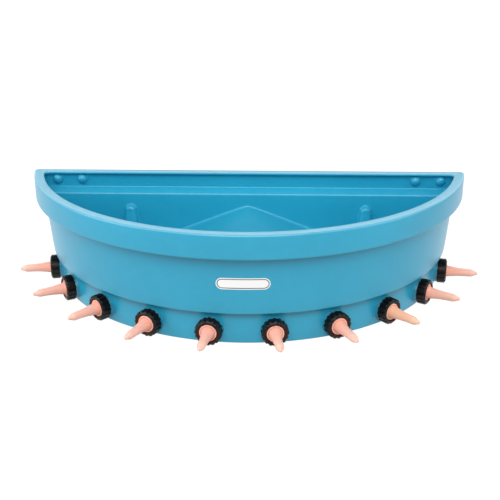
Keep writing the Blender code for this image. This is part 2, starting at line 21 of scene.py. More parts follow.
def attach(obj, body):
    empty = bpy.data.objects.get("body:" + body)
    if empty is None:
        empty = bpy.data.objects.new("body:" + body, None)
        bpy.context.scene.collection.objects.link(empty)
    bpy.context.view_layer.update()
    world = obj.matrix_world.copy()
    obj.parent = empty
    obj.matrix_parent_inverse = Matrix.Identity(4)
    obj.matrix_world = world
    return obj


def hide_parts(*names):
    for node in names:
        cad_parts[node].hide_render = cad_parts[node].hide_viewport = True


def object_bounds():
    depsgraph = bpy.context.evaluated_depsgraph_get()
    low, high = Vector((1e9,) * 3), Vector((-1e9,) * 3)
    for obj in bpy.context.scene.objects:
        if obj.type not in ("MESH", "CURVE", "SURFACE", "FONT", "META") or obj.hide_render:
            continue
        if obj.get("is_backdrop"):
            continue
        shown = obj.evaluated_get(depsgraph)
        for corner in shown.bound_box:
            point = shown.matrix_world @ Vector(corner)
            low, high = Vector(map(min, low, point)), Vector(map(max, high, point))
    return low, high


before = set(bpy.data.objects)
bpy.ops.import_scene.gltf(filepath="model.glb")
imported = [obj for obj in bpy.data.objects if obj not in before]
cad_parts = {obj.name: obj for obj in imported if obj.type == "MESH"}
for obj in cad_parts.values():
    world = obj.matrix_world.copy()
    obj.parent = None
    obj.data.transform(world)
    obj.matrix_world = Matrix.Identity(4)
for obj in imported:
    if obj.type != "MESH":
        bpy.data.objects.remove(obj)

LOG = logging.getLogger("milk_feeder")
BODY = "trough"
MERGE = 0.00001
SMOOTH = 38.0
LYING = Matrix.Rotation(math.pi / 2, 4, "X")

Colour = tuple[float, float, float]
Point = tuple[float, float, float]


class Side(Enum):
    """The feeder's left or right half, as seen from the teats."""

    LEFT = -1
    RIGHT = 1


# Shader sums


class Reading:
    """A node's output, with arithmetic that adds Math nodes."""

    def __init__(self, bench: "Bench", socket: NodeSocket) -> None:
        """Keep the output and the material that it is in."""
        self.bench = bench
        self.socket = socket

    def _sum(self, operation: str, first: object, second: object) -> "Reading":
        """Add one Math node and return its output."""
        return self.bench.node("ShaderNodeMath", {"operation": operation}, {0: first, 1: second})

    def __add__(self, other: object) -> "Reading":
        """Return this plus other."""
        return self._sum("ADD", self, other)

    __radd__ = __add__

    def __sub__(self, other: object) -> "Reading":
        """Return this minus other."""
        return self._sum("SUBTRACT", self, other)

    def __rsub__(self, other: object) -> "Reading":
        """Return other minus this."""
        return self._sum("SUBTRACT", other, self)

    def __mul__(self, other: object) -> "Reading":
        """Return this times other."""
        return self._sum("MULTIPLY", self, other)

    __rmul__ = __mul__

    def __pow__(self, power: float) -> "Reading":
        """Return this to a power."""
        return self._sum("POWER", self, power)

    def __abs__(self) -> "Reading":
        """Return this without its sign."""
        return self._sum("ABSOLUTE", self, 0.0)

    def at_least(self, floor: float) -> "Reading":
        """Return the greater of this and a floor."""
        return self._sum("MAXIMUM", self, floor)

    def between(self, low: float, high: float) -> "Reading":
        """Return a smooth step from 0 at low to 1 at high."""
        sockets = {"Value": self, "From Min": low, "From Max": high}
        return self.bench.node("ShaderNodeMapRange", {"interpolation_type": "SMOOTHSTEP"}, sockets)


class Bench:
    """One material, and the nodes that are added to it."""

    def __init__(self, name: str) -> None:
        """Start a material.

        Args:
            name: the material's name.
        """
        self.material = bpy.data.materials.new(name)
        self.material.use_nodes = True
        self.tree = self.material.node_tree
        self.shader = self.tree.nodes["Principled BSDF"]
        self.place = self.node("ShaderNodeTexCoord", {}, {}, "Object")

    def node(self, kind: str, settings: dict, sockets: dict, output: int | str = 0) -> Reading:
        """Add a node.

        Args:
            kind: the node's type.
            settings: the node's own settings, such as a Math node's operation.
            sockets: values or readings, by the input's name or number.
            output: the output to read.

        Returns:
            The reading of that output.
        """
        made = self.tree.nodes.new(kind)
        for name, value in settings.items():
            setattr(made, name, value)
        for name, value in sockets.items():
            self.feed(made.inputs[name], value)
        return Reading(self, made.outputs[output])

    def feed(self, socket: NodeSocket, value: object) -> None:
        """Link a reading to a socket, or set the socket's value.

        Args:
            socket: the node's input.
            value: a reading, a number, a vector or a colour.
        """
        if isinstance(value, Reading):
            self.tree.links.new(value.socket, socket)
        elif isinstance(value, tuple) and len(value) == 3 and socket.type == "RGBA":
            socket.default_value = (*value, 1.0)
        else:
            socket.default_value = value

    def noise(
        self, scale: float, detail: float = 2.0, rough: float = 0.5, at: Reading | None = None
    ) -> Reading:
        """Return a noise of a number of cells to the metre."""
        sockets = {"Vector": at or self.place, "Scale": scale, "Detail": detail, "Roughness": rough}
        return self.node("ShaderNodeTexNoise", {}, sockets)

    def stretched(self, scale: Point, turn: float = 0.0) -> Reading:
        """Return the piece's coordinates, stretched and turned about Z."""
        sockets = {"Vector": self.place, "Scale": scale, "Rotation": (0.0, 0.0, turn)}
        return self.node("ShaderNodeMapping", {}, sockets)

    def mixed(self, share: object, first: object, second: object) -> Reading:
        """Return a colour between two others."""
        return self.node("ShaderNodeMix", {"data_type": "RGBA"}, {0: share, 6: first, 7: second}, 2)

    def stored(self, name: str) -> Reading:
        """Return a number that the mesh stores for each of its points."""
        return self.node("ShaderNodeAttribute", {"attribute_name": name}, {}, "Fac")

    def raised(self, *layers: tuple[Reading, float]) -> Reading:
        """Put bumps on a surface.

        Args:
            layers: each pattern and how far it stands out, in metres.

        Returns:
            The normal that the last bump gives.
        """
        sockets: dict = {}
        for height, distance in layers:
            sockets |= {"Height": height, "Distance": distance, "Strength": 1.0}
            sockets["Normal"] = self.node("ShaderNodeBump", {}, sockets, "Normal")
        return sockets["Normal"]

    def finish(self, **values: object) -> Material:
        """Feed the shader's sockets.

        Args:
            values: a value or reading for each socket, named in lower case with underscores.

        Returns:
            The finished material.
        """
        names = {socket.name.lower().replace(" ", "_"): socket for socket in self.shader.inputs}
        for name, value in values.items():
            self.feed(names[name], value)
        return self.material


# Finishes


@dataclass(frozen=True)
class MouldedPolyethylene:
    """Satin rotomoulded plastic with a faint pebble and clouded pigment, some painted shade and a painted
    sheen on the rim.
    """

    colour: Colour = (0.016, 0.345, 0.530)
    deep: Colour = (0.012, 0.310, 0.485)
    pale: Colour = (0.048, 0.400, 0.580)
    # Paler tone of the rim's top: part abrasion, part painted sheen.
    wear_and_sheen_tone: Colour = (0.170, 0.430, 0.560)
    # Painted shade: the darker tone laid under the step and the band, on the bosses and on the floor.
    painted_shade_tone: Colour = (0.012, 0.130, 0.200)
    roughness: float = 0.31

    def dress(self) -> Material:
        """Make the material.

        Returns:
            The material.
        """
        bench = Bench("moulded_polyethylene")
        cloud = bench.noise(3.0, 3.0)
        mottle = bench.noise(46.0, 4.0, 0.6)
        pebble = bench.noise(720.0)
        peel = bench.noise(150.0)
        wave = bench.noise(11.0, 1.0)
        streak = bench.noise(1.0, 3.0, 0.6, bench.stretched((9.0, 160.0, 160.0), 0.5))
        scuff = streak.between(0.66, 0.78) * bench.noise(6.0).between(0.52, 0.68)
        speck = bench.noise(430.0, 1.0).between(0.72, 0.80)
        # Share of the paler rim tone, part abrasion and part painted sheen.
        wear_and_highlight = bench.stored("rubbed_rim") * (0.40 + mottle * 0.30)
        # Share of painted shade under the step and the band, on the bosses and on the floor.
        painted_shade_share = bench.stored("soiled_corner") * (0.50 + mottle * 0.40)
        tone = bench.mixed(cloud.between(0.30, 0.70), self.deep, self.colour)
        tone = bench.mixed(mottle.between(0.25, 0.80) * 0.16, tone, self.pale)
        tone = bench.mixed(speck * 0.10, tone, self.deep)
        tone = bench.mixed(scuff * 0.18, tone, self.pale)
        # Paler rim top, part abrasion and part painted sheen.
        tone = bench.mixed(wear_and_highlight, tone, self.wear_and_sheen_tone)
        # Painted shade mixed in last.
        tone = bench.mixed(painted_shade_share, tone, self.painted_shade_tone)
        rough = self.roughness + (mottle - 0.5) * 0.10 + (pebble - 0.5) * 0.08 + scuff * 0.12
        normal = bench.raised((wave, 0.0008), (peel, 0.00012), (pebble, 0.00004))
        return bench.finish(base_color=tone, roughness=rough, normal=normal, ior=1.50)


@dataclass(frozen=True)
class MouldedPolypropylene:
    """Near-black injection-moulded plastic, glossier and paler where abraded, with a painted highlight
    there and a painted pink reflection in the dish.
    """

    name: str
    roughness: float = 0.32
    colour: Colour = (0.0024, 0.0023, 0.0025)
    # Paler tone on the ribs' tops and the front ring: part abrasion, part painted highlight.
    wear_and_highlight: Colour = (0.013, 0.010, 0.008)
    # Painted reflection: pink light from the teat, laid on the dish round it.
    painted_teat_reflection: Colour = (0.095, 0.022, 0.012)

    def dress(self) -> Material:
        """Make the material.

        Returns:
            The material.
        """
        bench = Bench(self.name)
        grain = bench.noise(1500.0)
        flow = bench.noise(90.0, 3.0, 0.6)
        # Ribs' tops and front ring: abrasion and a painted highlight, in patches.
        wear_and_glint = bench.stored("crest") * flow.between(0.38, 0.66)
        tone = bench.mixed(wear_and_glint * 0.8, self.colour, self.wear_and_highlight)
        # Painted pink reflection of the teat in the dish.
        tone = bench.mixed(bench.stored("dish") * 0.8, tone, self.painted_teat_reflection)
        rough = self.roughness + (flow - 0.5) * 0.16 + (grain - 0.5) * 0.08 - wear_and_glint * 0.12
        normal = bench.raised((flow, 0.00010), (grain, 0.00003))
        return bench.finish(base_color=tone, roughness=rough, normal=normal, specular_ior_level=0.20)


@dataclass(frozen=True)
class TeatRubber:
    """Soft pink rubber that lets light in and pales towards the thin tip; its root ring has painted light
    and its groove painted shade.
    """

    root: Colour = (0.96, 0.43, 0.33)
    tip: Colour = (0.98, 0.53, 0.43)
    aged: Colour = (0.95, 0.53, 0.30)
    # Painted light: the raised ring at the teat's root is painted paler for the light it catches.
    collar: Colour = (0.99, 0.62, 0.50)
    # Painted shade: the groove inside the raised ring is painted darker.
    crease: Colour = (0.78, 0.25, 0.18)
    roughness: float = 0.58
    reach: float = 0.097

    def dress(self) -> Material:
        """Make the material.

        Returns:
            The material.
        """
        bench = Bench("teat_rubber")
        bloom = bench.noise(120.0, 3.0, 0.6)
        grain = bench.noise(1300.0)
        cloud = bench.noise(30.0)
        thin = bench.stored("along").between(0.35 * self.reach, 0.95 * self.reach)
        tone = bench.mixed(thin, self.root, self.tip)
        tone = bench.mixed(bench.stored("age") * 0.55, tone, self.aged)
        tone = bench.mixed(cloud.between(0.35, 0.75) * 0.14, tone, self.tip)
        # Painted light on the raised ring at the root.
        tone = bench.mixed(bench.stored("collar") * 0.9, tone, self.collar)
        # Painted shade in the groove inside the raised ring.
        tone = bench.mixed(bench.stored("crease") * 0.3, tone, self.crease)
        rough = self.roughness + (bloom - 0.5) * 0.18 + (grain - 0.5) * 0.06
        normal = bench.raised((bloom, 0.00012), (grain, 0.00003))
        return bench.finish(
            base_color=tone,
            roughness=rough,
            normal=normal,
            subsurface_weight=0.35,
            subsurface_radius=(0.012, 0.0045, 0.003),
            subsurface_scale=0.5,
        )


@dataclass(frozen=True)
class SealRubber:
    """Dull black rubber with a chalky bloom."""

    colour: Colour = (0.014, 0.014, 0.015)
    bloom: Colour = (0.050, 0.050, 0.052)
    roughness: float = 0.72

    def dress(self) -> Material:
        """Make the material.

        Returns:
            The material.
        """
        bench = Bench("seal_rubber")
        chalk = bench.noise(210.0, 4.0, 0.65)
        grain = bench.noise(1800.0, 1.0)
        tone = bench.mixed(chalk.between(0.45, 0.75) * 0.7, self.colour, self.bloom)
        rough = self.roughness + (chalk - 0.5) * 0.2
        normal = bench.raised((chalk, 0.00005), (grain, 0.00003))
        return bench.finish(base_color=tone, roughness=rough, normal=normal)


@dataclass(frozen=True)
class TurnedBrass:
    """Turned brass, a little tarnished."""

    colour: Colour = (0.72, 0.50, 0.19)
    tarnish: Colour = (0.36, 0.22, 0.08)
    roughness: float = 0.30

    def dress(self) -> Material:
        """Make the material.

        Returns:
            The material.
        """
        bench = Bench("turned_brass")
        mark = bench.noise(260.0, 4.0, 0.6).between(0.45, 0.70)
        tool = bench.noise(1.0, at=bench.stretched((300.0, 5200.0, 300.0)))
        tone = bench.mixed(mark * 0.6, self.colour, self.tarnish)
        rough = self.roughness + mark * 0.18 + (tool - 0.5) * 0.12
        normal = bench.raised((tool, 0.00003))
        return bench.finish(base_color=tone, roughness=rough, normal=normal, metallic=1.0)


@dataclass(frozen=True)
class BlankLabelFilm:
    """White vinyl film with one dark line inside its edge and nothing on it."""

    film: Colour = (0.93, 0.93, 0.92)
    line: Colour = (0.012, 0.011, 0.012)
    dust: Colour = (0.55, 0.54, 0.50)
    half_length: float = 0.0445
    half_width: float = 0.0135
    margin: float = 0.0022
    line_width: float = 0.0019
    blur: float = 0.0003
    roughness: float = 0.32

    def dress(self) -> Material:
        """Make the material.

        Returns:
            The material.
        """
        bench = Bench("blank_label_film")
        uv = bench.node("ShaderNodeUVMap", {"uv_map": "flat"}, {})
        split = bench.node("ShaderNodeSeparateXYZ", {}, {0: uv})
        across = Reading(bench, split.socket.node.outputs[1])
        beyond = (abs(split) - self.half_length).at_least(0.0)
        depth = self.half_width - (beyond * beyond + across * across) ** 0.5
        start, end = self.margin, self.margin + self.line_width
        inked = depth.between(start - self.blur, start + self.blur)
        inked = inked - depth.between(end - self.blur, end + self.blur)
        dirt = bench.noise(170.0, 4.0, 0.6)
        tone = bench.mixed(inked, self.film, self.line)
        tone = bench.mixed(dirt.between(0.55, 0.80) * 0.10, tone, self.dust)
        rough = self.roughness + (dirt - 0.5) * 0.12
        return bench.finish(base_color=tone, roughness=rough, normal=bench.raised((dirt, 0.00004)))


# Mesh helpers


@dataclass(frozen=True)
class Corner:
    """A point of a profile, and how far from it the rounding starts on either side."""

    at: tuple[float, ...]
    reach: float = 0.0


def part_way(start: float, end: float, share: float) -> float:
    """Return the value at a share of the way from start to end."""
    return start + (end - start) * share


def eased(share: float) -> float:
    """Return a share that leaves 0 and reaches 1 gently."""
    return share * share * (3 - 2 * share)


def off_axis(point: Vector) -> float:
    """Return a point's distance from the Z axis."""
    return math.hypot(point.x, point.y)


def softened(corners: Sequence[Corner], steps: int = 4) -> list[Vector]:
    """Round the corners of a bent line.

    Args:
        corners: the line's points.
        steps: stretches in each rounding.

    Returns:
        The points of the rounded line.
    """
    line: list[Vector] = []
    for number, corner in enumerate(corners):
        here = Vector(corner.at)
        if corner.reach <= 0.0 or number in (0, len(corners) - 1):
            line.append(here)
            continue
        before, after = Vector(corners[number - 1].at), Vector(corners[number + 1].at)
        start = here + (before - here).normalized() * min(corner.reach, (before - here).length / 2)
        end = here + (after - here).normalized() * min(corner.reach, (after - here).length / 2)
        for step in range(steps + 1):
            share = step / steps
            line.append(start * (1 - share) ** 2 + here * (2 * share * (1 - share)) + end * share**2)
    return line


def curved(points: Sequence[tuple[float, float]], steps: int) -> list[tuple[float, float]]:
    """Return a smooth line through points, by Catmull and Rom's rule.

    Args:
        points: the points that the line goes through.
        steps: stretches between two points.

    Returns:
        The line's points.
    """
    ends = [Vector(point) for point in (points[0], *points, points[-1])]
    line: list[tuple[float, float]] = []
    for before, start, end, after in zip(ends, ends[1:], ends[2:], ends[3:]):
        for step in range(steps):
            t = step / steps
            bend = (2 * start) + (end - before) * t + (2 * before - 5 * start + 4 * end - after) * t**2
            bend += (3 * start - before - 3 * end + after) * t**3
            line.append(tuple(bend / 2))
    line.append(tuple(points[-1]))
    return line


def verts_in(made: Iterable[object]) -> list[BMVert]:
    """Return the points among what an operator made."""
    return [item for item in made if isinstance(item, BMVert)]


def edges_in(made: Iterable[object]) -> list[BMEdge]:
    """Return the edges among what an operator made."""
    return [item for item in made if isinstance(item, BMEdge)]


def open_edges(shape: BMesh) -> list[BMEdge]:
    """Return the edges of a mesh that have one face."""
    return [edge for edge in shape.edges if edge.is_boundary]


def lofted(rings: Sequence[Sequence[Vector]], cyclic: bool) -> BMesh:
    """Extrude a first outline through others that have as many points.

    Args:
        rings: the outlines.
        cyclic: whether each outline is a closed loop.

    Returns:
        The mesh.
    """
    shape = bmesh.new()
    order = shape.verts.layers.int.new("order")
    verts = [shape.verts.new(point) for point in rings[0]]
    for number, vert in enumerate(verts):
        vert[order] = number
    edges = [shape.edges.new(pair) for pair in zip(verts, verts[1:])]
    if cyclic:
        edges.append(shape.edges.new((verts[-1], verts[0])))
    for ring in rings[1:]:
        made = bmesh.ops.extrude_edge_only(shape, edges=edges)["geom"]
        edges = edges_in(made)
        for vert in verts_in(made):
            vert.co = ring[vert[order]]
    return shape


def spun(profile: Sequence[Sequence[float]], steps: int, closed: bool = True) -> BMesh:
    """Turn a profile of (radius, height) points about Z.

    Args:
        profile: the points, in order; a third number is stored as the point's share.
        steps: stretches round the axis.
        closed: whether the last point is joined to the first.

    Returns:
        The mesh, its faces outwards.
    """
    shape = bmesh.new()
    share = shape.verts.layers.float.new("share")
    verts = [shape.verts.new((point[0], 0.0, point[1])) for point in profile]
    for vert, point in zip(verts, profile):
        vert[share] = point[2] if len(point) > 2 else 0.0
    pairs = list(zip(verts, verts[1:]))
    if closed:
        pairs.append((verts[-1], verts[0]))
    line = verts + [shape.edges.new(pair) for pair in pairs]
    turn = {"cent": (0, 0, 0), "axis": (0, 0, 1), "angle": math.tau, "steps": steps}
    bmesh.ops.spin(shape, geom=line, use_merge=True, **turn)
    tidy(shape)
    return shape


def disc(radius: float, depth: float, segments: int, place: Matrix) -> BMesh:
    """Make a capped cylinder.

    Args:
        radius: its radius.
        depth: its length.
        segments: the number of its sides.
        place: the frame in its middle, with Z along its axis.

    Returns:
        The cylinder.
    """
    shape = bmesh.new()
    size = {"radius1": radius, "radius2": radius, "depth": depth, "segments": segments}
    bmesh.ops.create_cone(shape, cap_ends=True, matrix=place, **size)
    return shape


def sliced(shape: BMesh, at: Point, normal: Point, clear: bool = False) -> None:
    """Slice a mesh along a plane, and clear what lies beyond it if asked."""
    every = shape.verts[:] + shape.edges[:] + shape.faces[:]
    bmesh.ops.bisect_plane(shape, geom=every, plane_co=at, plane_no=normal, clear_outer=clear)


def thickened(shape: BMesh, offset: float) -> None:
    """Extrude an open skin along Z."""
    made = bmesh.ops.extrude_face_region(shape, geom=shape.faces[:])["geom"]
    bmesh.ops.translate(shape, vec=(0, 0, offset), verts=verts_in(made))


def face_out(shape: BMesh) -> None:
    """Turn the faces outwards."""
    bmesh.ops.recalc_face_normals(shape, faces=shape.faces)
    if shape.calc_volume(signed=True) < 0:
        bmesh.ops.reverse_faces(shape, faces=shape.faces)


def tidy(shape: BMesh) -> None:
    """Merge points that coincide, drop faces that shrank to nothing, and turn the rest outwards."""
    bmesh.ops.remove_doubles(shape, verts=shape.verts, dist=MERGE)
    bmesh.ops.dissolve_degenerate(shape, edges=shape.edges, dist=MERGE / 10)
    face_out(shape)


def joined(shapes: Iterable[BMesh]) -> BMesh:
    """Put several meshes in one, and free them.

    Args:
        shapes: the meshes.

    Returns:
        The one mesh.
    """
    whole = bmesh.new()
    for shape in shapes:
        mesh = bpy.data.meshes.new("part")
        shape.to_mesh(mesh)
        shape.free()
        whole.from_mesh(mesh)
        bpy.data.meshes.remove(mesh)
    return whole


def moved(shape: BMesh, matrix: Matrix) -> BMesh:
    """Move a mesh and return it."""
    bmesh.ops.transform(shape, matrix=matrix, verts=shape.verts)
    return shape


def as_mesh(shape: BMesh, name: str, angle: float = SMOOTH) -> Mesh:
    """Turn a bmesh into a mesh, and free it.

    Args:
        shape: the bmesh.
        name: the mesh's name.
        angle: the turn in degrees up to which an edge is smooth.

    Returns:
        The mesh.
    """
    mesh = bpy.data.meshes.new(name)
    shape.to_mesh(mesh)
    shape.free()
    mesh.shade_smooth()
    mesh.set_sharp_from_angle(angle=math.radians(angle))
    return mesh


def cut(mesh: Mesh, tool: BMesh) -> Mesh:
    """Cut a mesh with another, and remove them both.

    Args:
        mesh: the mesh to cut.
        tool: the shape that is taken away.

    Returns:
        A new mesh, with the old one's name.
    """
    name = mesh.name
    target = bpy.data.objects.new("cut_target", mesh)
    cutter = bpy.data.objects.new("cutter", as_mesh(tool, "cutter"))
    for item in (target, cutter):
        bpy.context.scene.collection.objects.link(item)
    step = target.modifiers.new("cut", "BOOLEAN")
    step.object = cutter
    step.operation = "DIFFERENCE"
    step.solver = "EXACT"
    graph = bpy.context.evaluated_depsgraph_get()
    made = bpy.data.meshes.new_from_object(target.evaluated_get(graph))
    for item in (target, cutter):
        spent = item.data
        bpy.data.objects.remove(item)
        bpy.data.meshes.remove(spent)
    made.name = name
    made.shade_smooth()
    made.set_sharp_from_angle(angle=math.radians(SMOOTH))
    return made


def store(mesh: Mesh, name: str, rule: Callable[[Vector], float]) -> None:
    """Store a number at each point of a mesh, by a rule that gives it for a point."""
    layer = mesh.attributes.new(name, "FLOAT", "POINT")
    layer.data.foreach_set("value", [rule(vert.co) for vert in mesh.vertices])


@dataclass(frozen=True)
class Carrier:
    """What a piece rides on, which node it stands for, and a slot name that is not used."""

    body: str
    node: str
    slot: str


MOULDING = Carrier(BODY, "trough_body", "blue_plastic")


def add_piece(mesh: Mesh, finish: Material, carrier: Carrier) -> Object:
    """Put a piece in the scene, with its mesh's name.

    Args:
        mesh: its mesh, in place.
        finish: its material.
        carrier: what it rides on and stands for.

    Returns:
        The piece.
    """
    mesh.materials.clear()
    mesh.materials.append(finish)
    piece = bpy.data.objects.new(mesh.name, mesh)
    bpy.context.scene.collection.objects.link(piece)
    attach(piece, carrier.body)
    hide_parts(carrier.node)
    carrier.slot
    LOG.info("%s: %d faces on %s", piece.name, len(mesh.polygons), carrier.body)
    return piece


# Trough


@dataclass(frozen=True)
class Plan:
    """The half-moon outline of the trough and its walls' lean."""

    arc_radius: float = 0.540
    depth: float = 0.458
    back_y: float = 0.25335
    arc_steps: int = 240
    corner_steps: int = 6
    back_steps: int = 120
    wall: float = 0.0055
    band_foot: float = 0.2145
    step_height: float = 0.0763
    back_top_inset: float = 0.0285
    back_foot_inset: float = 0.0310
    skirt_top_inset: float = 0.0455
    skirt_foot_inset: float = 0.0484
    body_top_inset: float = 0.0216
    body_foot_inset: float = 0.0337

    @property
    def arc_y(self) -> float:
        """The Y of the arc's centre."""
        return self.back_y + self.arc_radius - self.depth

    def back_inset(self, height: float) -> float:
        """Return the outer back wall's inset at a height."""
        share = min(height / self.band_foot, 1.0)
        return part_way(self.back_foot_inset, self.back_top_inset, share)

    def skirt_inset(self, height: float) -> float:
        """Return the skirt's inset at a height."""
        return part_way(self.skirt_foot_inset, self.skirt_top_inset, height / self.step_height)

    def body_inset(self, height: float) -> float:
        """Return the upper wall's inset at a height between the step and the band."""
        share = (height - self.step_height) / (self.band_foot - self.step_height)
        return part_way(self.body_foot_inset, self.body_top_inset, share)

    def level(self, height: float, skin: float = 0.0) -> Point:
        """Return the wall's level at a height, and a skin's thickness inside its outer face."""
        low = height < self.step_height
        front = self.skirt_inset(height) if low else self.body_inset(height)
        return front + skin, self.back_inset(height) + skin, height

    def inner_back(self, height: float) -> float:
        """Return the Y of the back wall's inner face at a height."""
        return self.back_y - self.back_inset(height) - self.wall

    def on_arc(self, radius: float, turn: float, height: float) -> Vector:
        """Return a point at a radius from the arc's centre."""
        return Vector((radius * math.sin(turn), self.arc_y - radius * math.cos(turn), height))

    def ring(self, level: Sequence[float], corner: float) -> list[Vector]:
        """Return the outline at one level.

        Args:
            level: front inset, back inset and height.
            corner: the radius of the upright corners.

        Returns:
            The outline's points: arc, right corner, back, left corner.
        """
        front, back, height = level
        arc, rear = self.arc_radius - front, self.back_y - back
        centre_y = rear - corner
        centre_x = math.sqrt((arc - corner) ** 2 - (centre_y - self.arc_y) ** 2)
        end = math.atan2(centre_x, self.arc_y - centre_y)
        turns = [end * (2 * step / self.arc_steps - 1) for step in range(self.arc_steps + 1)]
        line = [self.on_arc(arc, turn, height) for turn in turns]
        right = []
        for step in range(1, self.corner_steps + 1):
            turn = end + (math.pi - end) * step / self.corner_steps
            x = centre_x + corner * math.sin(turn)
            right.append(Vector((x, centre_y - corner * math.cos(turn), height)))
        left = [Vector((-point.x, point.y, point.z)) for point in reversed(right)]
        for step in range(1, self.back_steps):
            right.append(Vector((centre_x * (1 - 2 * step / self.back_steps), rear, height)))
        return line + right + left


@dataclass(frozen=True)
class Station:
    """One teat's place: the middle of its boss face and the turn of its axis."""

    number: int
    middle: Vector
    turn: float

    @property
    def matrix(self) -> Matrix:
        """The frame with Z along the teat and its zero on the boss face."""
        return Matrix.Translation(self.middle) @ Matrix.Rotation(self.turn, 4, "Z") @ LYING


@dataclass
class StationRow:
    """The ten teats' places along the front."""

    plan: Plan
    per_side: int = 5
    first: float = math.radians(8.1)
    pitch: float = math.radians(16.12)
    splay: float = 1.0836
    radius: float = 0.4974
    height: float = 0.034

    def __iter__(self) -> Iterator[Station]:
        """Go along the row, from the left end to the right.

        Returns:
            An iterator that yields the stations.
        """
        count = 2 * self.per_side
        for index in range(count):
            steps = index - (count - 1) / 2
            side = Side.RIGHT if steps > 0 else Side.LEFT
            polar = side.value * (self.first + (abs(steps) - 0.5) * self.pitch)
            yield Station(index + 1, self.plan.on_arc(self.radius, polar, self.height), polar * self.splay)


@dataclass(frozen=True)
class WallEdges:
    """How far from each edge of the trough's wall its rounding starts."""

    foot: float = 0.0055
    under_step: float = 0.0095
    step: float = 0.0030
    under_band: float = 0.0090
    band: float = 0.0050
    rim_outside: float = 0.0062
    rim_inside: float = 0.0030
    rim_foot: float = 0.0016
    strip_top: float = 0.0070
    strip_foot: float = 0.0022
    ledge_foot: float = 0.0045
    inner_step: float = 0.0050
    inner_step_foot: float = 0.0040
    channel: float = 0.0080
    corner_outside: float = 0.0080
    corner_inside: float = 0.0100


@dataclass
class Wall:
    """The trough's wall from foot to rim, and the channel's floor."""

    plan: Plan
    edges: WallEdges = field(default_factory=WallEdges)
    height: float = 0.270
    foot_inside: float = 0.1119
    foot_middle: tuple[float, float] = (0.0620, 0.0030)
    skirt_levels: tuple[float, ...] = (0.030, 0.055)
    body_levels: tuple[float, ...] = (0.105, 0.150, 0.195)
    inner_skirt_levels: tuple[float, ...] = (0.052, 0.030)
    inner_body_levels: tuple[float, ...] = (0.185, 0.150, 0.110)
    step_under: float = 0.0008
    step_over: float = 0.0003
    step_lip: float = 0.0004
    inner_step_under: float = 0.0015
    inner_step_over: float = 0.0070
    band_middle: float = 0.243
    rim_width: float = 0.024
    lip: float = 0.0055
    strip: float = 0.014
    ledge_top: float = 0.0405
    ledge_fall: float = 0.0116
    floor: float = 0.006
    floor_inside: tuple[float, float] = (0.1040, 0.0085)

    def outer(self) -> list[Vector]:
        """List the outer levels.

        Returns:
            Each one's front inset, back inset and height, from the foot's inner edge to the rim.
        """
        plan, edges = self.plan, self.edges
        foot, rim = plan.back_foot_inset, self.rim_width / 2
        under, over = plan.step_height - self.step_under, plan.step_height + self.step_over
        corners = [
            Corner((self.foot_inside, foot + plan.wall, 0.0)),
            Corner((self.foot_middle[0], foot + self.foot_middle[1], 0.0)),
            Corner((plan.skirt_foot_inset, foot, 0.0), edges.foot),
            *(Corner(plan.level(height)) for height in self.skirt_levels),
            Corner((plan.skirt_top_inset, plan.back_inset(under), under), edges.under_step),
            Corner((plan.body_foot_inset + self.step_lip, plan.back_inset(over), over), edges.step),
            *(Corner(plan.level(height)) for height in self.body_levels),
            Corner(plan.level(plan.band_foot), edges.under_band),
            Corner((0.0, 0.0, plan.band_foot), edges.band),
            Corner((0.0, 0.0, self.band_middle)),
            Corner((0.0, 0.0, self.height), edges.rim_outside),
            Corner((rim, rim, self.height)),
        ]
        return softened(corners)

    def inner(self) -> list[Vector]:
        """List the inner levels.

        Returns:
            Each one's front inset, back inset and height, from the rim to the floor's edge.
        """
        plan, edges, wall = self.plan, self.edges, self.plan.wall
        rim, strip, lip = self.rim_width, self.strip, self.height - self.lip
        ledge = self.height - self.ledge_top
        under, over = plan.step_height - self.inner_step_under, plan.step_height + self.inner_step_over
        front, back = plan.body_top_inset + wall, plan.back_top_inset + wall
        foot = plan.back_foot_inset + wall
        corners = [
            Corner((rim / 2, rim / 2, self.height)),
            Corner((rim, rim, self.height), edges.rim_inside),
            Corner((rim, rim, lip), edges.rim_foot),
            Corner((strip, strip, lip), edges.strip_top),
            Corner((strip, strip, (lip + ledge) / 2)),
            Corner((strip, strip, ledge), edges.strip_foot),
            Corner((front, back, ledge - self.ledge_fall), edges.ledge_foot),
            *(Corner(plan.level(height, wall)) for height in self.inner_body_levels),
            Corner((plan.body_foot_inset + wall, plan.back_inset(over) + wall, over), edges.inner_step),
            Corner(plan.level(under, wall), edges.inner_step_foot),
            *(Corner(plan.level(height, wall)) for height in self.inner_skirt_levels),
            Corner((plan.skirt_foot_inset + wall, foot, self.floor), edges.channel),
            Corner((self.floor_inside[0], foot + self.floor_inside[1], self.floor)),
        ]
        return softened(corners)

    def mesh(self) -> Mesh:
        """Make the wall, rim and channel floor.

        Returns:
            One closed loop of levels.
        """
        rings = [self.plan.ring(level, self.edges.corner_outside) for level in self.outer()]
        rings += [self.plan.ring(level, self.edges.corner_inside) for level in self.inner()]
        shape = lofted([*rings, rings[0]], cyclic=True)
        tidy(shape)
        return as_mesh(shape, "trough_wall")


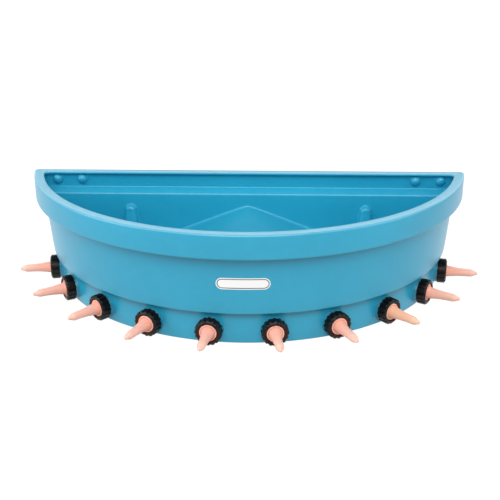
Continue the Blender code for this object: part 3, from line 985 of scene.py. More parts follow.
@dataclass
class ConicalFloor:
    """The half-conical floor and its rounding on to the back wall."""

    plan: Plan
    base: float
    height: float = 0.189
    feet: tuple[float, float] = (0.4395, 0.4301)
    shoulder: tuple[float, float] = (0.4001, 0.0386)
    foot_round: float = 0.0050
    shoulder_round: float = 0.0100
    shares: tuple[float, ...] = (0.88, 0.75, 0.62, 0.5, 0.38, 0.27, 0.18, 0.11, 0.06, 0.03, 0.012)
    steps: int = 120
    blunt: float = 0.020
    seat: float = 0.0007
    lift: float = 0.0002
    thickness: float = 0.006
    fillet: float = 0.0060
    fillet_steps: int = 48
    fillet_turns: int = 10
    crowding: float = 0.6
    sunk: float = 0.0007

    @property
    def back(self) -> float:
        """The Y of the upright plane that the cone's tip stands in."""
        return self.plan.back_y - self.plan.back_top_inset - self.plan.wall / 2

    def level(self, share: float) -> float:
        """Return the cone's height at a share of the way from its tip to its shoulder."""
        return self.height - (self.height - self.shoulder[1]) * math.hypot(share, self.blunt)

    def top(self, x: float, y: float) -> float:
        """Return the cone's height over a point of the plan.

        Args:
            x: the point's X.
            y: the point's Y.

        Returns:
            The height above the ground.
        """
        ray = Vector((x, y - self.back))
        tip = Vector((0.0, self.back - self.plan.arc_y))
        across = tip.dot(ray.normalized())
        rim = math.sqrt(across**2 - tip.length_squared + self.shoulder[0] ** 2) - across
        return self.level(ray.length / rim)

    def path(self, turn: float) -> list[Vector]:
        """Return one line down the cone.

        Args:
            turn: its place round the front, from -1 at the left end to 1 at the right.

        Returns:
            The line's points, from the channel over the shoulder to the tip.
        """
        low = self.base + self.lift
        tip = Vector((0.0, self.back, self.level(0.0)))
        feet = []
        for radius, z in ((self.feet[0], low), (self.feet[1], low), self.shoulder):
            end = math.acos((self.plan.arc_y - self.back) / radius)
            feet.append(self.plan.on_arc(radius, end * turn, z))
        corners = [Corner(tuple(feet[0])), Corner(tuple(feet[1]), self.foot_round)]
        corners.append(Corner(tuple(feet[2]), self.shoulder_round))
        for share in self.shares:
            point = tip + (feet[2] - tip) * share
            corners.append(Corner((point.x, point.y, self.level(share))))
        return softened([*corners, Corner(tuple(tip))], 5)

    def mesh(self) -> Mesh:
        """Return the floor, with a bank down to the channel.

        Returns:
            The floor's mesh, a skin of even height.
        """
        plan = self.plan
        paths = [self.path(2 * step / self.steps - 1) for step in range(self.steps + 1)]
        shape = lofted(list(zip(*paths)), cyclic=False)
        bmesh.ops.remove_doubles(shape, verts=shape.verts, dist=MERGE)
        low, high = plan.inner_back(0.0), plan.inner_back(plan.band_foot)
        sliced(shape, (0, low + self.seat, 0), (0, plan.band_foot, low - high), clear=True)
        thickened(shape, -self.thickness)
        tidy(shape)
        return as_mesh(shape, "trough_floor")

    def fillet_ring(self, x: float) -> list[Vector]:
        """Return the section of the rounding at one place along the back wall.

        Args:
            x: the place.

        Returns:
            The section's points, with Y measured from the wall's inner face.
        """
        tiny = 0.0001
        out = Vector((0.0, -1.0, 0.0))
        y = self.plan.inner_back(self.top(x, self.back))
        lean = (self.top(x - tiny, y) - self.top(x + tiny, y)) / (2 * tiny)
        pitch = (self.top(x, y - tiny) - self.top(x, y + tiny)) / (2 * tiny)
        up = Vector((lean, pitch, 1.0)).normalized()
        foot = Vector((x, 0.0, self.top(x, y)))
        centre = foot + (out + up) * (self.fillet / (1 + out.dot(up)))
        turns = [turn / self.fillet_turns for turn in range(self.fillet_turns + 1)]
        ring = [centre - out.slerp(up, turn) * self.fillet for turn in turns]
        return [*ring, ring[-1] - up * self.sunk, foot - (out + up) * self.sunk, ring[0] - out * self.sunk]

    def fillet_mesh(self) -> Mesh:
        """Return the rounding between the cone and the back wall.

        Returns:
            A concave strip from the channel on the left, over the tip, to the one on the right.
        """
        reach = math.sqrt(self.shoulder[0] ** 2 - (self.plan.arc_y - self.back) ** 2)
        shares = [step / self.fillet_steps for step in range(-self.fillet_steps, self.fillet_steps + 1)]
        rings = [self.fillet_ring(reach * share * abs(share) ** self.crowding) for share in shares]
        shape = lofted(rings, cyclic=True)
        bmesh.ops.holes_fill(shape, edges=open_edges(shape))
        for vert in shape.verts:
            vert.co.y += self.plan.inner_back(max(vert.co.z, 0.0))
        tidy(shape)
        return as_mesh(shape, "floor_fillet")


def mound_line(radius: float, fillet: float) -> list[tuple[float, float]]:
    """Return the section of a round mound on a wall, from its crown to its foot.

    Args:
        radius: the mound's radius.
        fillet: the radius of the rounding at its foot.

    Returns:
        Points as distance from the mound's axis and height off the wall.
    """
    crown_steps, foot_steps = 9, 5
    hem, sunk = 0.0004, 0.0014
    reach = math.sqrt((radius + fillet) ** 2 - fillet**2)
    lean = math.asin(fillet / (radius + fillet))
    line = []
    for step in range(crown_steps + 1):
        turn = (math.pi / 2 - lean) * step / crown_steps
        line.append((radius * math.sin(turn), radius * math.cos(turn)))
    for step in range(1, foot_steps + 1):
        turn = lean + (math.pi / 2 - lean) * step / foot_steps
        line.append((reach - fillet * math.cos(turn), fillet - fillet * math.sin(turn)))
    return [*line, (reach + hem, -sunk)]


@dataclass
class BackRibs:
    """The two hollow ribs inside the back wall, which widen downwards from a domed top."""

    plan: Plan
    x: float = 0.292
    radius: float = 0.018
    top: float = 0.190
    foot: float = 0.004
    fillet: float = 0.004
    crown: float = 0.0140
    spread: float = 0.0075
    run: float = 0.040
    square: float = 0.9
    rows: int = 24
    dome_steps: int = 28
    groove_rows: int = 16
    groove_below: float = 0.01
    groove_height: float = 0.1
    groove_steps: int = 48

    def radius_at(self, height: float) -> float:
        """Return the rib's radius, which grows from its crown down to its foot."""
        below = max(self.top - self.crown - height, 0.0)
        return self.crown + self.spread * (1 - math.exp(-below / self.run))

    def rib(self, side: Side) -> BMesh:
        """Shape one rib before its groove is cut.

        Args:
            side: the side that it is on.

        Returns:
            A half-round column with a domed top.
        """
        shape = bmesh.new()
        line = mound_line(self.radius, self.fillet)
        verts = [shape.verts.new((away, 0.0, out)) for away, out in line]
        edges = [shape.edges.new(pair) for pair in zip(verts, verts[1:])]
        turn = {"cent": (0, 0, 0), "axis": (0, 0, 1), "angle": math.pi, "steps": self.dome_steps}
        bmesh.ops.spin(shape, geom=verts + edges, **turn)
        ends = [edge for edge in open_edges(shape) if max(abs(v.co.y) for v in edge.verts) < MERGE]
        centre = self.top - self.crown
        for _ in range(self.rows):
            made = bmesh.ops.extrude_edge_only(shape, edges=ends)["geom"]
            ends = edges_in(made)
            drop = (0, (self.foot - centre) / self.rows, 0)
            bmesh.ops.translate(shape, vec=drop, verts=verts_in(made))
        bmesh.ops.remove_doubles(shape, verts=shape.verts, dist=MERGE)
        bmesh.ops.holes_fill(shape, edges=open_edges(shape))
        for vert in shape.verts:
            size = self.radius_at(centre + vert.co.y) / self.radius
            z = centre + vert.co.y * (size if vert.co.y > 0 else 1.0)
            part = vert.co.z / self.radius
            out = vert.co.z * size * (1 + self.square * part * (1 - part))
            x = side.value * self.x + vert.co.x * size
            vert.co = Vector((x, self.plan.inner_back(max(z, 0.0)) - out, z))
        tidy(shape)
        return shape

    def mesh(self) -> Mesh:
        """Return both ribs."""
        return as_mesh(joined(self.rib(side) for side in Side), "back_ribs")

    def grooves(self, spare: float) -> list[BMesh]:
        """Return the hollows behind the ribs.

        Args:
            spare: how much wider than the rib's hollow they are.

        Returns:
            The two shapes to cut away.
        """
        wall, crown, deep = self.plan.wall, self.top - self.crown, self.groove_below
        groove = self.crown - wall + spare
        turns = [math.radians(turn) for turn in range(0, 91, 9)]
        line = [(groove * math.sin(turn), crown + groove * math.cos(turn)) for turn in turns]
        for row in range(1, self.groove_rows + 1):
            height = crown - (crown + deep) * row / self.groove_rows
            line.append((self.radius_at(height) - wall + spare, height))
        line.append((0.0, -deep))
        y = self.plan.inner_back(self.groove_height)
        places = [Matrix.Translation((side.value * self.x, y, 0)) for side in Side]
        return [moved(spun(line, self.groove_steps, closed=False), place) for place in places]


@dataclass
class BandInserts:
    """The places of the bracket inserts: a dome inside the band and a pocket behind it."""

    plan: Plan
    rim: float
    strip: float
    reaches: tuple[float, ...] = (0.412537, 0.474037)
    drop: float = 0.020
    dome_radius: float = 0.0125
    dome_fillet: float = 0.0025
    pocket_radius: float = 0.0068
    pocket_depth: float = 0.0186
    steps: int = 40

    @property
    def height(self) -> float:
        """The height of the inserts' axes."""
        return self.rim - self.drop

    @property
    def xs(self) -> list[float]:
        """The inserts' places along the back, from left to right."""
        return sorted(side.value * reach for side in Side for reach in self.reaches)

    def places(self, y: float) -> list[Matrix]:
        """Return the frames at a Y, with Z pointing to the front."""
        return [Matrix.Translation((x, y, self.height)) @ LYING for x in self.xs]

    def domes(self) -> Mesh:
        """Make the domes.

        Returns:
            One for each insert, in one mesh.
        """
        line = mound_line(self.dome_radius, self.dome_fillet)
        line.append((0.0, line[-1][1]))
        places = self.places(self.plan.back_y - self.strip)
        domes = joined(moved(spun(line, self.steps, closed=False), at) for at in places)
        return as_mesh(domes, "band_domes", angle=50.0)

    def pockets(self) -> list[BMesh]:
        """Return the shapes to cut away for the inserts."""
        depth = 2 * self.pocket_depth
        places = self.places(self.plan.back_y)
        return [disc(self.pocket_radius, depth, self.steps, place) for place in places]


@dataclass
class StemBosses:
    """The round bosses on the skirt, the recesses behind them and the stems' holes."""

    plan: Plan
    row: StationRow
    radius: float = 0.0293
    soft: float = 0.0022
    soft_start: float = 0.85
    wall: float = 0.0055
    rows: int = 10
    steps: int = 72
    chamfer: float = 0.0006
    ground: float = 0.0005
    recess_radius: float = 0.0276
    recess_depth: float = 0.0105
    slack: float = 0.0001
    disc_steps: int = 64
    hole_radius: float = 0.0214
    hole_reach: tuple[float, float] = (-0.02, 0.01)

    def skirt_depth(self, station: Station, point: Vector) -> float:
        """Return how far behind the boss face the skirt lies.

        Args:
            station: the teat's station.
            point: a point in the plane of the boss face.

        Returns:
            The distance back along the teat's axis.
        """
        axis = Vector((math.sin(station.turn), -math.cos(station.turn)))
        start = Vector((point.x, point.y - self.plan.arc_y))
        height = min(max(point.z, 0.0), self.plan.step_height)
        radius = self.plan.arc_radius - self.plan.skirt_inset(height)
        half = start.dot(axis)
        return half - math.sqrt(max(half**2 - start.length_squared + radius**2, 0.0))

    def boss(self, station: Station) -> BMesh:
        """Shape one boss, its foot rounded on to the curved skirt.

        Args:
            station: the teat's station.

        Returns:
            The boss, in place.
        """
        hole, back = self.hole_radius, -self.wall
        profile = [(hole, back, 0.0), (hole, -self.chamfer, 0.0), (hole + self.chamfer, 0.0, 0.0)]
        for row in range(self.rows + 1):
            share = row / self.rows
            away = self.radius - self.soft * (self.soft_start - share)
            profile.append((away, 0.0, eased(share)))
        deep = self.recess_radius + self.slack
        lip, hem, turned = 0.0004, 0.0010, 0.0020
        profile += [(away + lip, -hem, 1.0), (deep, -turned, 1.0), (deep, back, 0.0)]
        shape = spun(profile, self.steps)
        shares = shape.verts.layers.float["share"]
        matrix = station.matrix
        for vert in shape.verts:
            depth = self.skirt_depth(station, matrix @ Vector((vert.co.x, vert.co.y, 0.0)))
            height = vert.co.z - vert[shares] * depth
            if vert.co.z < -(hem + turned) / 2 and vert[shares] > 0.5:
                height = min(height, back - 2 * self.slack)
            vert.co = matrix @ Vector((vert.co.x, vert.co.y, height))
            vert.co.z = max(vert.co.z, self.ground)
        face_out(shape)
        return shape

    def mesh(self) -> Mesh:
        """Return all the bosses."""
        return as_mesh(joined(self.boss(station) for station in self.row), "stem_bosses", angle=50.0)

    def discs(self, radius: float, low: float, high: float) -> BMesh:
        """Return a disc at every station.

        Args:
            radius: the discs' radius.
            low: their inner end along the teat.
            high: their outer end along the teat.

        Returns:
            The ten discs in one mesh.
        """
        middle = Matrix.Translation((0, 0, (low + high) / 2))
        places = [station.matrix @ middle for station in self.row]
        return joined(disc(radius, high - low, self.disc_steps, place) for place in places)

    def recesses(self) -> BMesh:
        """Return the recesses inside the skirt."""
        return self.discs(self.recess_radius, -self.wall - self.recess_depth, -self.wall)

    def holes(self) -> BMesh:
        """Return the stems' holes."""
        return self.discs(self.hole_radius, *self.hole_reach)


@dataclass
class Trough:
    """The moulded trough: wall and rim, conical floor, ribs, domes and bosses."""

    plan: Plan
    row: StationRow
    # Painted shade: how far it reaches below the step and the band, how it fades there, and its strength
    # on the band, the floor and the bosses.
    painted_shade_drop: float = 0.026
    band_soil: float = 0.40
    step_fade: float = 1.2
    band_fade: float = 1.5
    floor_soil: float = 0.25
    boss_painted_shade: float = 0.85
    # How far below the rim's top the paler tone reaches, part abrasion and part painted sheen.
    rubbed_depth: float = 0.0020
    clear: float = 0.0015

    def __post_init__(self) -> None:
        """Lay out the trough's sub-parts."""
        self.wall = Wall(self.plan)
        self.floor = ConicalFloor(self.plan, self.wall.floor)
        self.ribs = BackRibs(self.plan)
        self.inserts = BandInserts(self.plan, self.wall.height, self.wall.strip)
        self.bosses = StemBosses(self.plan, self.row)

    def soil_at(self, point: Vector) -> float:
        """Return how much painted shade lies on a point of the outside, under the step and the band.

        Args:
            point: a point of the wall.

        Returns:
            The share of painted shade, from 1 in the corner under the step to 0 on unshaded wall.
        """
        plan = self.plan
        low = point.z < plan.step_height + MERGE
        inset = plan.skirt_inset(point.z) if low else plan.body_inset(point.z)
        outside = math.hypot(point.x, point.y - plan.arc_y) > plan.arc_radius - inset - plan.wall / 2
        behind = point.y > plan.back_y - plan.skirt_foot_inset
        if not outside or behind or point.z > plan.band_foot + MERGE:
            return 0.0
        if low:
            return max((point.z - plan.step_height) / self.painted_shade_drop + 1.0, 0.0) ** self.step_fade
        share = max((point.z - plan.band_foot) / self.painted_shade_drop + 1.0, 0.0)
        return self.band_soil * share**self.band_fade

    def back_cuts(self, spare: float = 0.0) -> BMesh:
        """Return the grooves behind the ribs and the pockets for the inserts, in one mesh."""
        return joined(self.ribs.grooves(spare) + self.inserts.pockets())

    def build(self) -> None:
        """Make the trough's pieces."""
        finish = MouldedPolyethylene().dress()
        wall = self.wall.mesh()
        for tool in (self.bosses.recesses(), self.bosses.holes(), self.back_cuts()):
            wall = cut(wall, tool)
        crown = self.wall.height - self.rubbed_depth
        # Painted shade under the step and the band.
        store(wall, "soiled_corner", self.soil_at)
        # The rim's top gets the paler tone, part abrasion and part painted sheen.
        store(wall, "rubbed_rim", lambda point: float(point.z > crown))
        floor = cut(self.floor.mesh(), self.back_cuts(self.clear))
        # The floor is darkened evenly as painted shade.
        store(floor, "soiled_corner", lambda point: self.floor_soil)
        fillet = cut(self.floor.fillet_mesh(), self.back_cuts(self.clear))
        ribs = cut(self.ribs.mesh(), self.back_cuts())
        bosses = self.bosses.mesh()
        # The bosses are darkened as painted shade.
        store(bosses, "soiled_corner", lambda point: self.boss_painted_shade)
        for mesh in (wall, floor, fillet, ribs, self.inserts.domes(), bosses):
            add_piece(mesh, finish, MOULDING)


# Teats, nuts, stems and washers


@dataclass(frozen=True)
class Thread:
    """A screw thread on a plain cylinder about Z."""

    radius: float
    low: float
    high: float
    rows: int
    bias: float = 0.0
    height: float = 0.0005
    pitch: float = 0.0030
    run_out: float = 0.0010

    def line(self) -> list[tuple[float, float]]:
        """Return the cylinder's profile, from its high end to its low one."""
        fall = (self.low - self.high) / self.rows
        return [(self.radius, self.high + fall * row) for row in range(self.rows + 1)]

    def shape_on(self, shape: BMesh) -> None:
        """Move the cylinder's points in and out along the thread's wave.

        Args:
            shape: the mesh that the thread is on; a bias of 1 keeps the wave outside the cylinder.
        """
        for vert in shape.verts:
            away, z = off_axis(vert.co), vert.co.z
            if self.low < z < self.high and abs(away - self.radius) < MERGE:
                turn = math.atan2(vert.co.y, vert.co.x)
                fade = min((z - self.low) / self.run_out, (self.high - z) / self.run_out, 1.0)
                wave = (self.bias + math.cos(math.tau * z / self.pitch - turn)) * self.height * fade
                vert.co.xy *= (away + wave) / away


@dataclass
class Stem:
    """A threaded stem with a flange inside the trough, and its washer."""

    bore: float = 0.0160
    radius: float = 0.0210
    reach: float = 0.0102
    wall: float = 0.0055
    gap: float = 0.0003
    washer: float = 0.0022
    flange: float = 0.0037
    flange_radius: float = 0.0260
    edge: float = 0.0006
    lead: float = 0.0010
    soft: float = 0.0004
    bevel: float = 0.0005
    steps: int = 64

    def mesh(self, station: Station) -> Mesh:
        """Make the stem at a station.

        Args:
            station: the teat's station.

        Returns:
            The stem's mesh, in place.
        """
        bore, radius, reach, rim = self.bore, self.radius, self.reach, self.flange_radius
        edge, lead, soft = self.edge, self.lead, self.soft
        top = -self.wall - 2 * self.gap - self.washer
        low = top - self.flange
        thread = Thread(radius - Thread.height, 0.0, reach - 2 * soft, 34)
        line = [(bore, reach - edge), (bore + 2 * soft, reach)]
        line += [(radius - 4 * soft, reach), (radius - lead, reach - edge)]
        line += thread.line()
        line += [(radius, -soft), (radius, top), (rim - self.bevel, top), (rim, top - edge)]
        line += [(rim, low + lead), (rim - lead, low)]
        line += [(bore + 3 * lead, low), (bore + lead, low + self.bevel), (bore, low + 4 * soft)]
        shape = spun(line, self.steps)
        thread.shape_on(shape)
        return as_mesh(moved(shape, station.matrix), f"spigot_{station.number}_threaded", angle=60.0)

    def washer_mesh(self, station: Station) -> Mesh:
        """Make the washer at a station.

        Args:
            station: the teat's station.

        Returns:
            The washer's mesh, in place.
        """
        top = -self.wall - self.gap
        low = top - self.washer
        middle = (top + low) / 2
        inner, outer = self.radius + self.gap, self.flange_radius
        ring = ((inner, top), (outer, top), (outer, low), (inner, low))
        corners = [Corner(point, self.soft) for point in ring]
        ends = Corner((inner, middle)), Corner((inner, middle - MERGE * 2))
        shape = spun(softened([ends[0], *corners, ends[1]]), self.steps)
        return as_mesh(moved(shape, station.matrix), f"gasket_{station.number}_washer", angle=60.0)


@dataclass
class UnionNut:
    """A ribbed union nut with a dished front."""

    radius: float = 0.0300
    length: float = 0.0217
    gap: float = 0.0003
    ribs: int = 16
    rib_height: float = 0.0020
    rib_share: float = 0.52
    rib_soft: float = 0.08
    steps_per_rib: int = 14
    chamfer: float = 0.0035
    ring_outer: float = 0.0250
    ring_inner: float = 0.0228
    dish: float = 0.0202
    plate_top: float = 0.0165
    plate_foot: float = 0.0135
    hole: float = 0.0171
    bore: float = 0.0214
    lead: float = 0.0010
    foot_round: float = 0.0009
    shoulder_round: float = 0.0008
    ring_round: float = 0.0005
    dish_round: float = 0.0006
    hole_round: float = 0.0004
    plate_round: float = 0.0003
    # Depth of the band on the ribs' tops that gets abrasion and a painted highlight.
    wear_and_highlight: float = 0.0004

    def rib_wave(self, turn: float) -> float:
        """Return 1 on a rib and 0 between ribs, with sloping flanks.

        Args:
            turn: the angle round the nut.

        Returns:
            The share of the rib's height.
        """
        off = abs((turn * self.ribs / math.tau + 0.5) % 1.0 - 0.5) * 2
        share = (self.rib_share + self.rib_soft - off) / (2 * self.rib_soft)
        return eased(min(max(share, 0.0), 1.0))

    def mesh(self, station: Station) -> Mesh:
        """Make the nut at a station.

        Args:
            station: the teat's station.

        Returns:
            The nut's mesh, in place.
        """
        top, low, mark = self.gap + self.length, self.gap, self.radius
        edge = top - self.chamfer
        outside = [
            Corner((self.bore + self.lead, low)),
            Corner((mark, low), self.foot_round),
            Corner((mark, low + 4 * self.lead)),
            Corner((mark, edge - 3 * self.lead)),
            Corner((mark, edge), self.shoulder_round),
            Corner((self.ring_outer, top), self.ring_round),
            Corner((self.ring_inner, top), self.ring_round),
            Corner((self.dish, self.plate_top), self.dish_round),
            Corner((self.hole, self.plate_top), self.hole_round),
            Corner((self.hole, self.plate_foot), self.plate_round),
            Corner((self.bore, self.plate_foot)),
        ]
        thread = Thread(self.bore, low + 2 * self.lead, self.plate_foot - self.lead, 40, bias=1.0)
        line = [tuple(point) for point in softened(outside)] + thread.line()
        shape = spun(line, self.ribs * self.steps_per_rib)
        groove = self.radius - self.rib_height
        for vert in shape.verts:
            away = off_axis(vert.co)
            if away > groove:
                share = self.rib_wave(math.atan2(vert.co.y, vert.co.x))
                vert.co.xy *= (groove + (away - groove) * share) / away
        thread.shape_on(shape)
        mesh = as_mesh(shape, f"nut_{station.number}_ribbed", angle=34.0)
        # The ribs' tops and the front ring are marked for abrasion and a painted highlight.
        reach, crown = self.radius - self.wear_and_highlight, top - self.dish_round
        store(mesh, "crest", lambda point: float(off_axis(point) > reach or point.z > crown))
        # The dish round the teat is marked for the painted pink reflection.
        inside, floor = self.ring_inner, self.plate_top - self.lead
        store(mesh, "dish", lambda point: float(off_axis(point) < inside and point.z > floor))
        mesh.transform(station.matrix)
        return mesh


@dataclass
class Teat:
    """A hollow rubber teat, held by its flange inside the nut."""

    flange_foot: float = 0.0105
    flange_top: float = 0.0132
    flange_radius: float = 0.0206
    flange_round: float = 0.0005
    neck: float = 0.0165
    neck_round: float = 0.0003
    collar_foot: float = 0.0168
    collar_foot_round: float = 0.0007
    collar_top: float = 0.0195
    collar_radius: float = 0.0192
    collar_round: float = 0.0010
    groove_radius: float = 0.0160
    groove_depth: float = 0.0010
    groove_round: float = 0.0004
    root_step: float = 0.0002
    crease_reach: float = 0.0012
    rubber: float = 0.0026
    hollow_top: float = 0.0872
    steps: int = 56
    side_steps: int = 3
    side_line: tuple[tuple[float, float], ...] = (
        (0.0150, 0.0200), (0.0143, 0.0222), (0.0135, 0.0252), (0.0127, 0.0310), (0.0117, 0.0385),
        (0.0106, 0.0465), (0.0100, 0.0540), (0.0096, 0.0620), (0.0093, 0.0700), (0.0093, 0.0760),
        (0.0090, 0.0810), (0.0082, 0.0846), (0.0069, 0.0874), (0.0058, 0.0898), (0.0050, 0.0922),
        (0.0043, 0.0944), (0.0033, 0.0962), (0.0018, 0.09715), (0.0, 0.09735),
    )
    hollow_rows: tuple[int, int] = (2, 12)
    ages: tuple[float, ...] = (0.10, 0.0, 0.12, 0.05, 0.0, 0.15, 0.08, 1.0, 0.1, 0.05)

    def held(self) -> list[Vector]:
        """Return the section of the flange, the neck and the raised ring at the root.

        Returns:
            The points from the flange's inner edge to the root of the side.
        """
        root, crown = self.side_line[0][0], self.collar_top
        floor = crown - self.groove_depth
        corners = [
            Corner((self.side_line[self.hollow_rows[0]][0] - self.rubber, self.flange_foot)),
            Corner((self.flange_radius, self.flange_foot), self.flange_round),
            Corner((self.flange_radius, self.flange_top), self.flange_round),
            Corner((self.neck, self.flange_top), self.neck_round),
            Corner((self.neck, self.collar_foot), self.neck_round),
            Corner((self.collar_radius, self.collar_foot), self.collar_foot_round),
            Corner((self.collar_radius, crown), self.collar_round),
            Corner((self.groove_radius, crown), self.neck_round),
            Corner((self.groove_radius - self.neck_round, floor), self.groove_round),
            Corner((root + self.root_step, floor), self.neck_round),
            Corner((root, crown + self.neck_round)),
        ]
        return softened(corners)

    def mesh(self, station: Station) -> Mesh:
        """Make the teat at a station.

        Args:
            station: the teat's station.

        Returns:
            The teat's mesh, in place.
        """
        first, last = self.hollow_rows
        inside = [(radius - self.rubber, height) for radius, height in self.side_line[first:last]]
        inside.append((0.0, self.hollow_top))
        line = [tuple(point) for point in self.held()[:-1]]
        line += curved(self.side_line, self.side_steps) + inside[::-1]
        mesh = as_mesh(spun(line, self.steps), f"teat_{station.number}_rubber", angle=50.0)
        age = self.ages[station.number - 1]
        edge, crown, near = self.groove_radius + self.neck_round, self.collar_top, self.crease_reach
        rules = {
            "along": lambda point: point.z,
            "age": lambda point: age,
            # The raised ring at the root is marked for painted light.
            "collar": lambda point: float(off_axis(point) > edge and point.z <= crown + MERGE),
            # The groove inside the raised ring is marked for painted shade.
            "crease": lambda point: float(off_axis(point) < edge and abs(point.z - crown) < near),
        }
        for name, rule in rules.items():
            store(mesh, name, rule)
        mesh.transform(station.matrix)
        return mesh


@dataclass
class TeatStations:
    """Everything at the ten stations."""

    row: StationRow
    stem: Stem = field(default_factory=Stem)
    nut: UnionNut = field(default_factory=UnionNut)
    teat: Teat = field(default_factory=Teat)

    def build(self) -> None:
        """Make a stem, washer, teat and nut at every station."""
        rubber = TeatRubber().dress()
        ribbed = MouldedPolypropylene("nut_polypropylene").dress()
        black = MouldedPolypropylene("stem_polypropylene", roughness=0.42).dress()
        seal = SealRubber().dress()
        for station in self.row:
            k = station.number
            add_piece(self.stem.mesh(station), black, Carrier(BODY, f"spigot_{k}", "black_plastic"))
            add_piece(self.stem.washer_mesh(station), seal, Carrier(BODY, f"gasket_{k}", "seal_rubber"))
            teat = Carrier(f"teat_{k}", f"teat_{k}", "teat_rubber")
            add_piece(self.teat.mesh(station), rubber, teat)
            nut = Carrier(f"nut_{k}", f"teat_nut_{k}", "nut_plastic")
            add_piece(self.nut.mesh(station), ribbed, nut)


@dataclass
class BracketInserts:
    """The threaded bushes in the back of the band."""

    seats: BandInserts
    radius: float = 0.0065
    bore: float = 0.0034
    length: float = 0.0180
    depth: float = 0.0140
    gap: float = 0.0003
    pitch: float = 0.00125
    thread: float = 0.0005
    edge: float = 0.0004
    rows: int = 48
    steps: int = 40
    mouth: float = 0.0009
    lead: float = 0.0010

    def mesh(self, number: int, place: Matrix) -> Mesh:
        """Make one bush.

        Args:
            number: its number, from the left.
            place: the frame in the back face, with Z pointing to the front.

        Returns:
            The bush's mesh, in place.
        """
        radius, length, edge = self.radius, self.length, self.edge
        line = [(0.0, self.depth), (self.bore, self.depth)]
        low, high = 2 * edge, self.depth - self.lead
        for row in range(self.rows + 1):
            depth = high + (low - high) * row / self.rows
            wave = self.thread * abs((depth / self.pitch) % 1.0 - 0.5) * 2
            line.append((self.bore + wave, depth))
        line += [(self.bore + self.mouth, 0.0), (radius - edge, 0.0), (radius, edge)]
        line += [(radius, length - edge), (radius - edge, length), (0.0, length)]
        shape = spun(line, self.steps, closed=False)
        return as_mesh(moved(shape, place), f"insert_{number}_bush", angle=50.0)

    def build(self) -> None:
        """Make the bushes."""
        finish = TurnedBrass().dress()
        places = self.seats.places(self.seats.plan.back_y - self.gap)
        for number, place in enumerate(places, start=1):
            add_piece(self.mesh(number, place), finish, Carrier(BODY, f"bracket_insert_{number}", "brass"))


# Blank label


@dataclass
class BlankLabel:
    """A blank film with round ends on the front of the upper wall."""

    plan: Plan
    film: BlankLabelFilm = field(default_factory=BlankLabelFilm)
    turn: float = 0.0072
    height: float = 0.1513
    thickness: float = 0.0004
    sunk: float = 0.0003
    slices: int = 36

    def mesh(self) -> Mesh:
        """Make the film.

        Returns:
            The film's mesh, bent round the wall.
        """
        shape = bmesh.new()
        bmesh.ops.create_circle(shape, cap_ends=True, segments=64, radius=self.film.half_width)
        for vert in shape.verts:
            if abs(vert.co.x) > MERGE:
                vert.co.x += math.copysign(self.film.half_length, vert.co.x)
        reach = self.film.half_length + self.film.half_width
        for step in range(1, self.slices):
            sliced(shape, (reach * (2 * step / self.slices - 1), 0, 0), (1, 0, 0))
        flat = shape.loops.layers.uv.new("flat")
        for face in shape.faces:
            for loop in face.loops:
                loop[flat].uv = loop.vert.co.xy
        thickened(shape, self.thickness + self.sunk)
        plan = self.plan
        for vert in shape.verts:
            z = self.height + vert.co.y
            radius = plan.arc_radius - plan.body_inset(z) + vert.co.z - self.sunk
            turn = self.turn + vert.co.x / (plan.arc_radius - plan.body_inset(self.height))
            vert.co = plan.on_arc(radius, turn, z)
        face_out(shape)
        return as_mesh(shape, "blank_label")

    def build(self) -> None:
        """Make the label."""
        add_piece(self.mesh(), self.film.dress(), MOULDING)


# Studio


def aimed(at: Point, towards: Point) -> Quaternion:
    """Return the turn of a light or camera that faces a point."""
    return (Vector(towards) - Vector(at)).to_track_quat("-Z", "Y")


@dataclass(frozen=True)
class SoftBox:
    """An area light: where it is, the point it faces, its width and height, and its watts."""

    name: str
    at: Point
    towards: Point
    size: tuple[float, float]
    power: float

    def build(self) -> None:
        """Make the light."""
        data = bpy.data.lights.new(self.name, "AREA")
        data.shape = "RECTANGLE"
        data.size, data.size_y = self.size
        data.energy = self.power
        light = bpy.data.objects.new(self.name, data)
        light.visible_camera = False
        light.location = self.at
        light.rotation_euler = aimed(self.at, self.towards).to_euler()
        bpy.context.scene.collection.objects.link(light)


SOFT_BOXES = (
    SoftBox("high_key", (0.0, -1.9, 2.75), (0.0, 0.0, 0.1), (2.6, 1.6), 36.0),
    SoftBox("low_key", (0.0, -2.45, 2.2), (0.0, 0.0, 0.1), (2.6, 1.6), 37.0),
    SoftBox("back_box", (0.0, 3.2, 1.9), (0.0, 0.0, 0.2), (3.0, 1.0), 20.0),
    SoftBox("back_left_box", (-2.2, 2.6, 1.4), (-0.3, 0.0, 0.2), (1.8, 1.8), 12.0),
    SoftBox("back_right_box", (2.2, 2.6, 1.4), (0.3, 0.0, 0.2), (1.8, 1.8), 17.0),
    SoftBox("left_box", (-3.0, -0.8, 1.3), (-0.3, 0.0, 0.15), (2.4, 2.2), 54.0),
    SoftBox("right_box", (3.0, -0.8, 1.3), (0.3, 0.0, 0.15), (2.4, 2.2), 32.0),
)


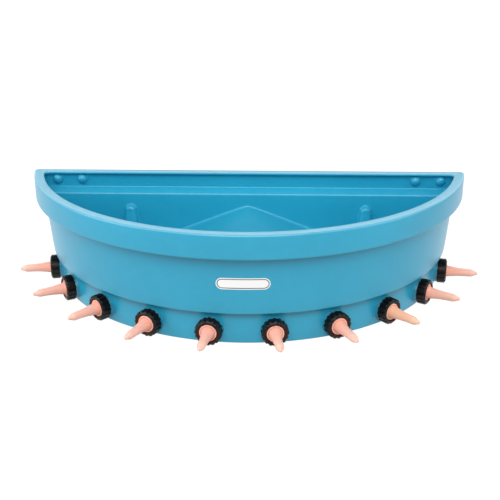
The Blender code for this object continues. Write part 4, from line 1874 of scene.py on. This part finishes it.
@dataclass
class Studio:
    """The pale floor, the soft lights and the camera."""

    camera_at: Point = (0.07784, -1.94050, 0.93292)
    looks_at: Point = (0.0125, 0.00330, 0.1561)
    roll: float = -0.0025
    focal_share: float = 918.95 / 500.0
    sensor: float = 36.0
    sky: float = 0.49
    floor_reach: float = 60.0
    floor_drop: float = 0.0002
    floor_glow: float = 0.97
    floor_tones: tuple[Colour, Colour] = ((0.12, 0.12, 0.12), (0.14, 0.14, 0.14))

    def build(self) -> None:
        """Set the stage."""
        self.floor()
        self.surround()
        for box in SOFT_BOXES:
            box.build()
        self.camera()

    def floor(self) -> None:
        """Make the floor."""
        shape = bmesh.new()
        bmesh.ops.create_grid(shape, x_segments=1, y_segments=1, size=self.floor_reach)
        bmesh.ops.translate(shape, vec=(0, 0, -self.floor_drop), verts=shape.verts)
        mesh = as_mesh(shape, "pale_floor")
        bench = Bench("pale_floor")
        tone = bench.mixed(bench.noise(0.8), *self.floor_tones)
        values = {"base_color": tone, "roughness": 0.9, "specular_ior_level": 0.0}
        glow = {"emission_color": (1.0, 1.0, 1.0), "emission_strength": self.floor_glow}
        mesh.materials.append(bench.finish(**values, **glow))
        floor = bpy.data.objects.new("pale_floor", mesh)
        floor.visible_diffuse = False
        bpy.context.scene.collection.objects.link(floor)
        floor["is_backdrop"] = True

    def surround(self) -> None:
        """Make the surrounding light."""
        world = bpy.data.worlds.new("studio")
        bpy.context.scene.world = world
        world.use_nodes = True
        sky = world.node_tree.nodes["Background"]
        sky.inputs["Color"].default_value = (1.0, 1.0, 1.0, 1.0)
        sky.inputs["Strength"].default_value = self.sky

    def camera(self) -> None:
        """Make the camera at the photograph's viewing angle."""
        data = bpy.data.cameras.new("camera")
        data.sensor_width = self.sensor
        data.lens = self.focal_share * self.sensor
        camera = bpy.data.objects.new("camera", data)
        camera.location = self.camera_at
        aim = aimed(self.camera_at, self.looks_at).to_matrix()
        camera.rotation_euler = (aim @ Matrix.Rotation(self.roll, 3, "Z")).to_euler()
        bpy.context.scene.collection.objects.link(camera)
        bpy.context.scene.camera = camera


def main() -> None:
    """Build the feeder and its studio."""
    logging.basicConfig(level=logging.INFO, format="%(name)s: %(message)s")
    cad_box = [list(corner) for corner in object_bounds()]
    Studio().build()
    plan = Plan()
    row = StationRow(plan)
    trough = Trough(plan, row)
    trough.build()
    TeatStations(row).build()
    BracketInserts(trough.inserts).build()
    BlankLabel(plan).build()
    bpy.context.scene.view_settings.view_transform = "Standard"
    bpy.context.view_layer.update()
    {"cad": cad_box, "visual": [list(corner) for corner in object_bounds()]}


if __name__ == "__main__":
    main()
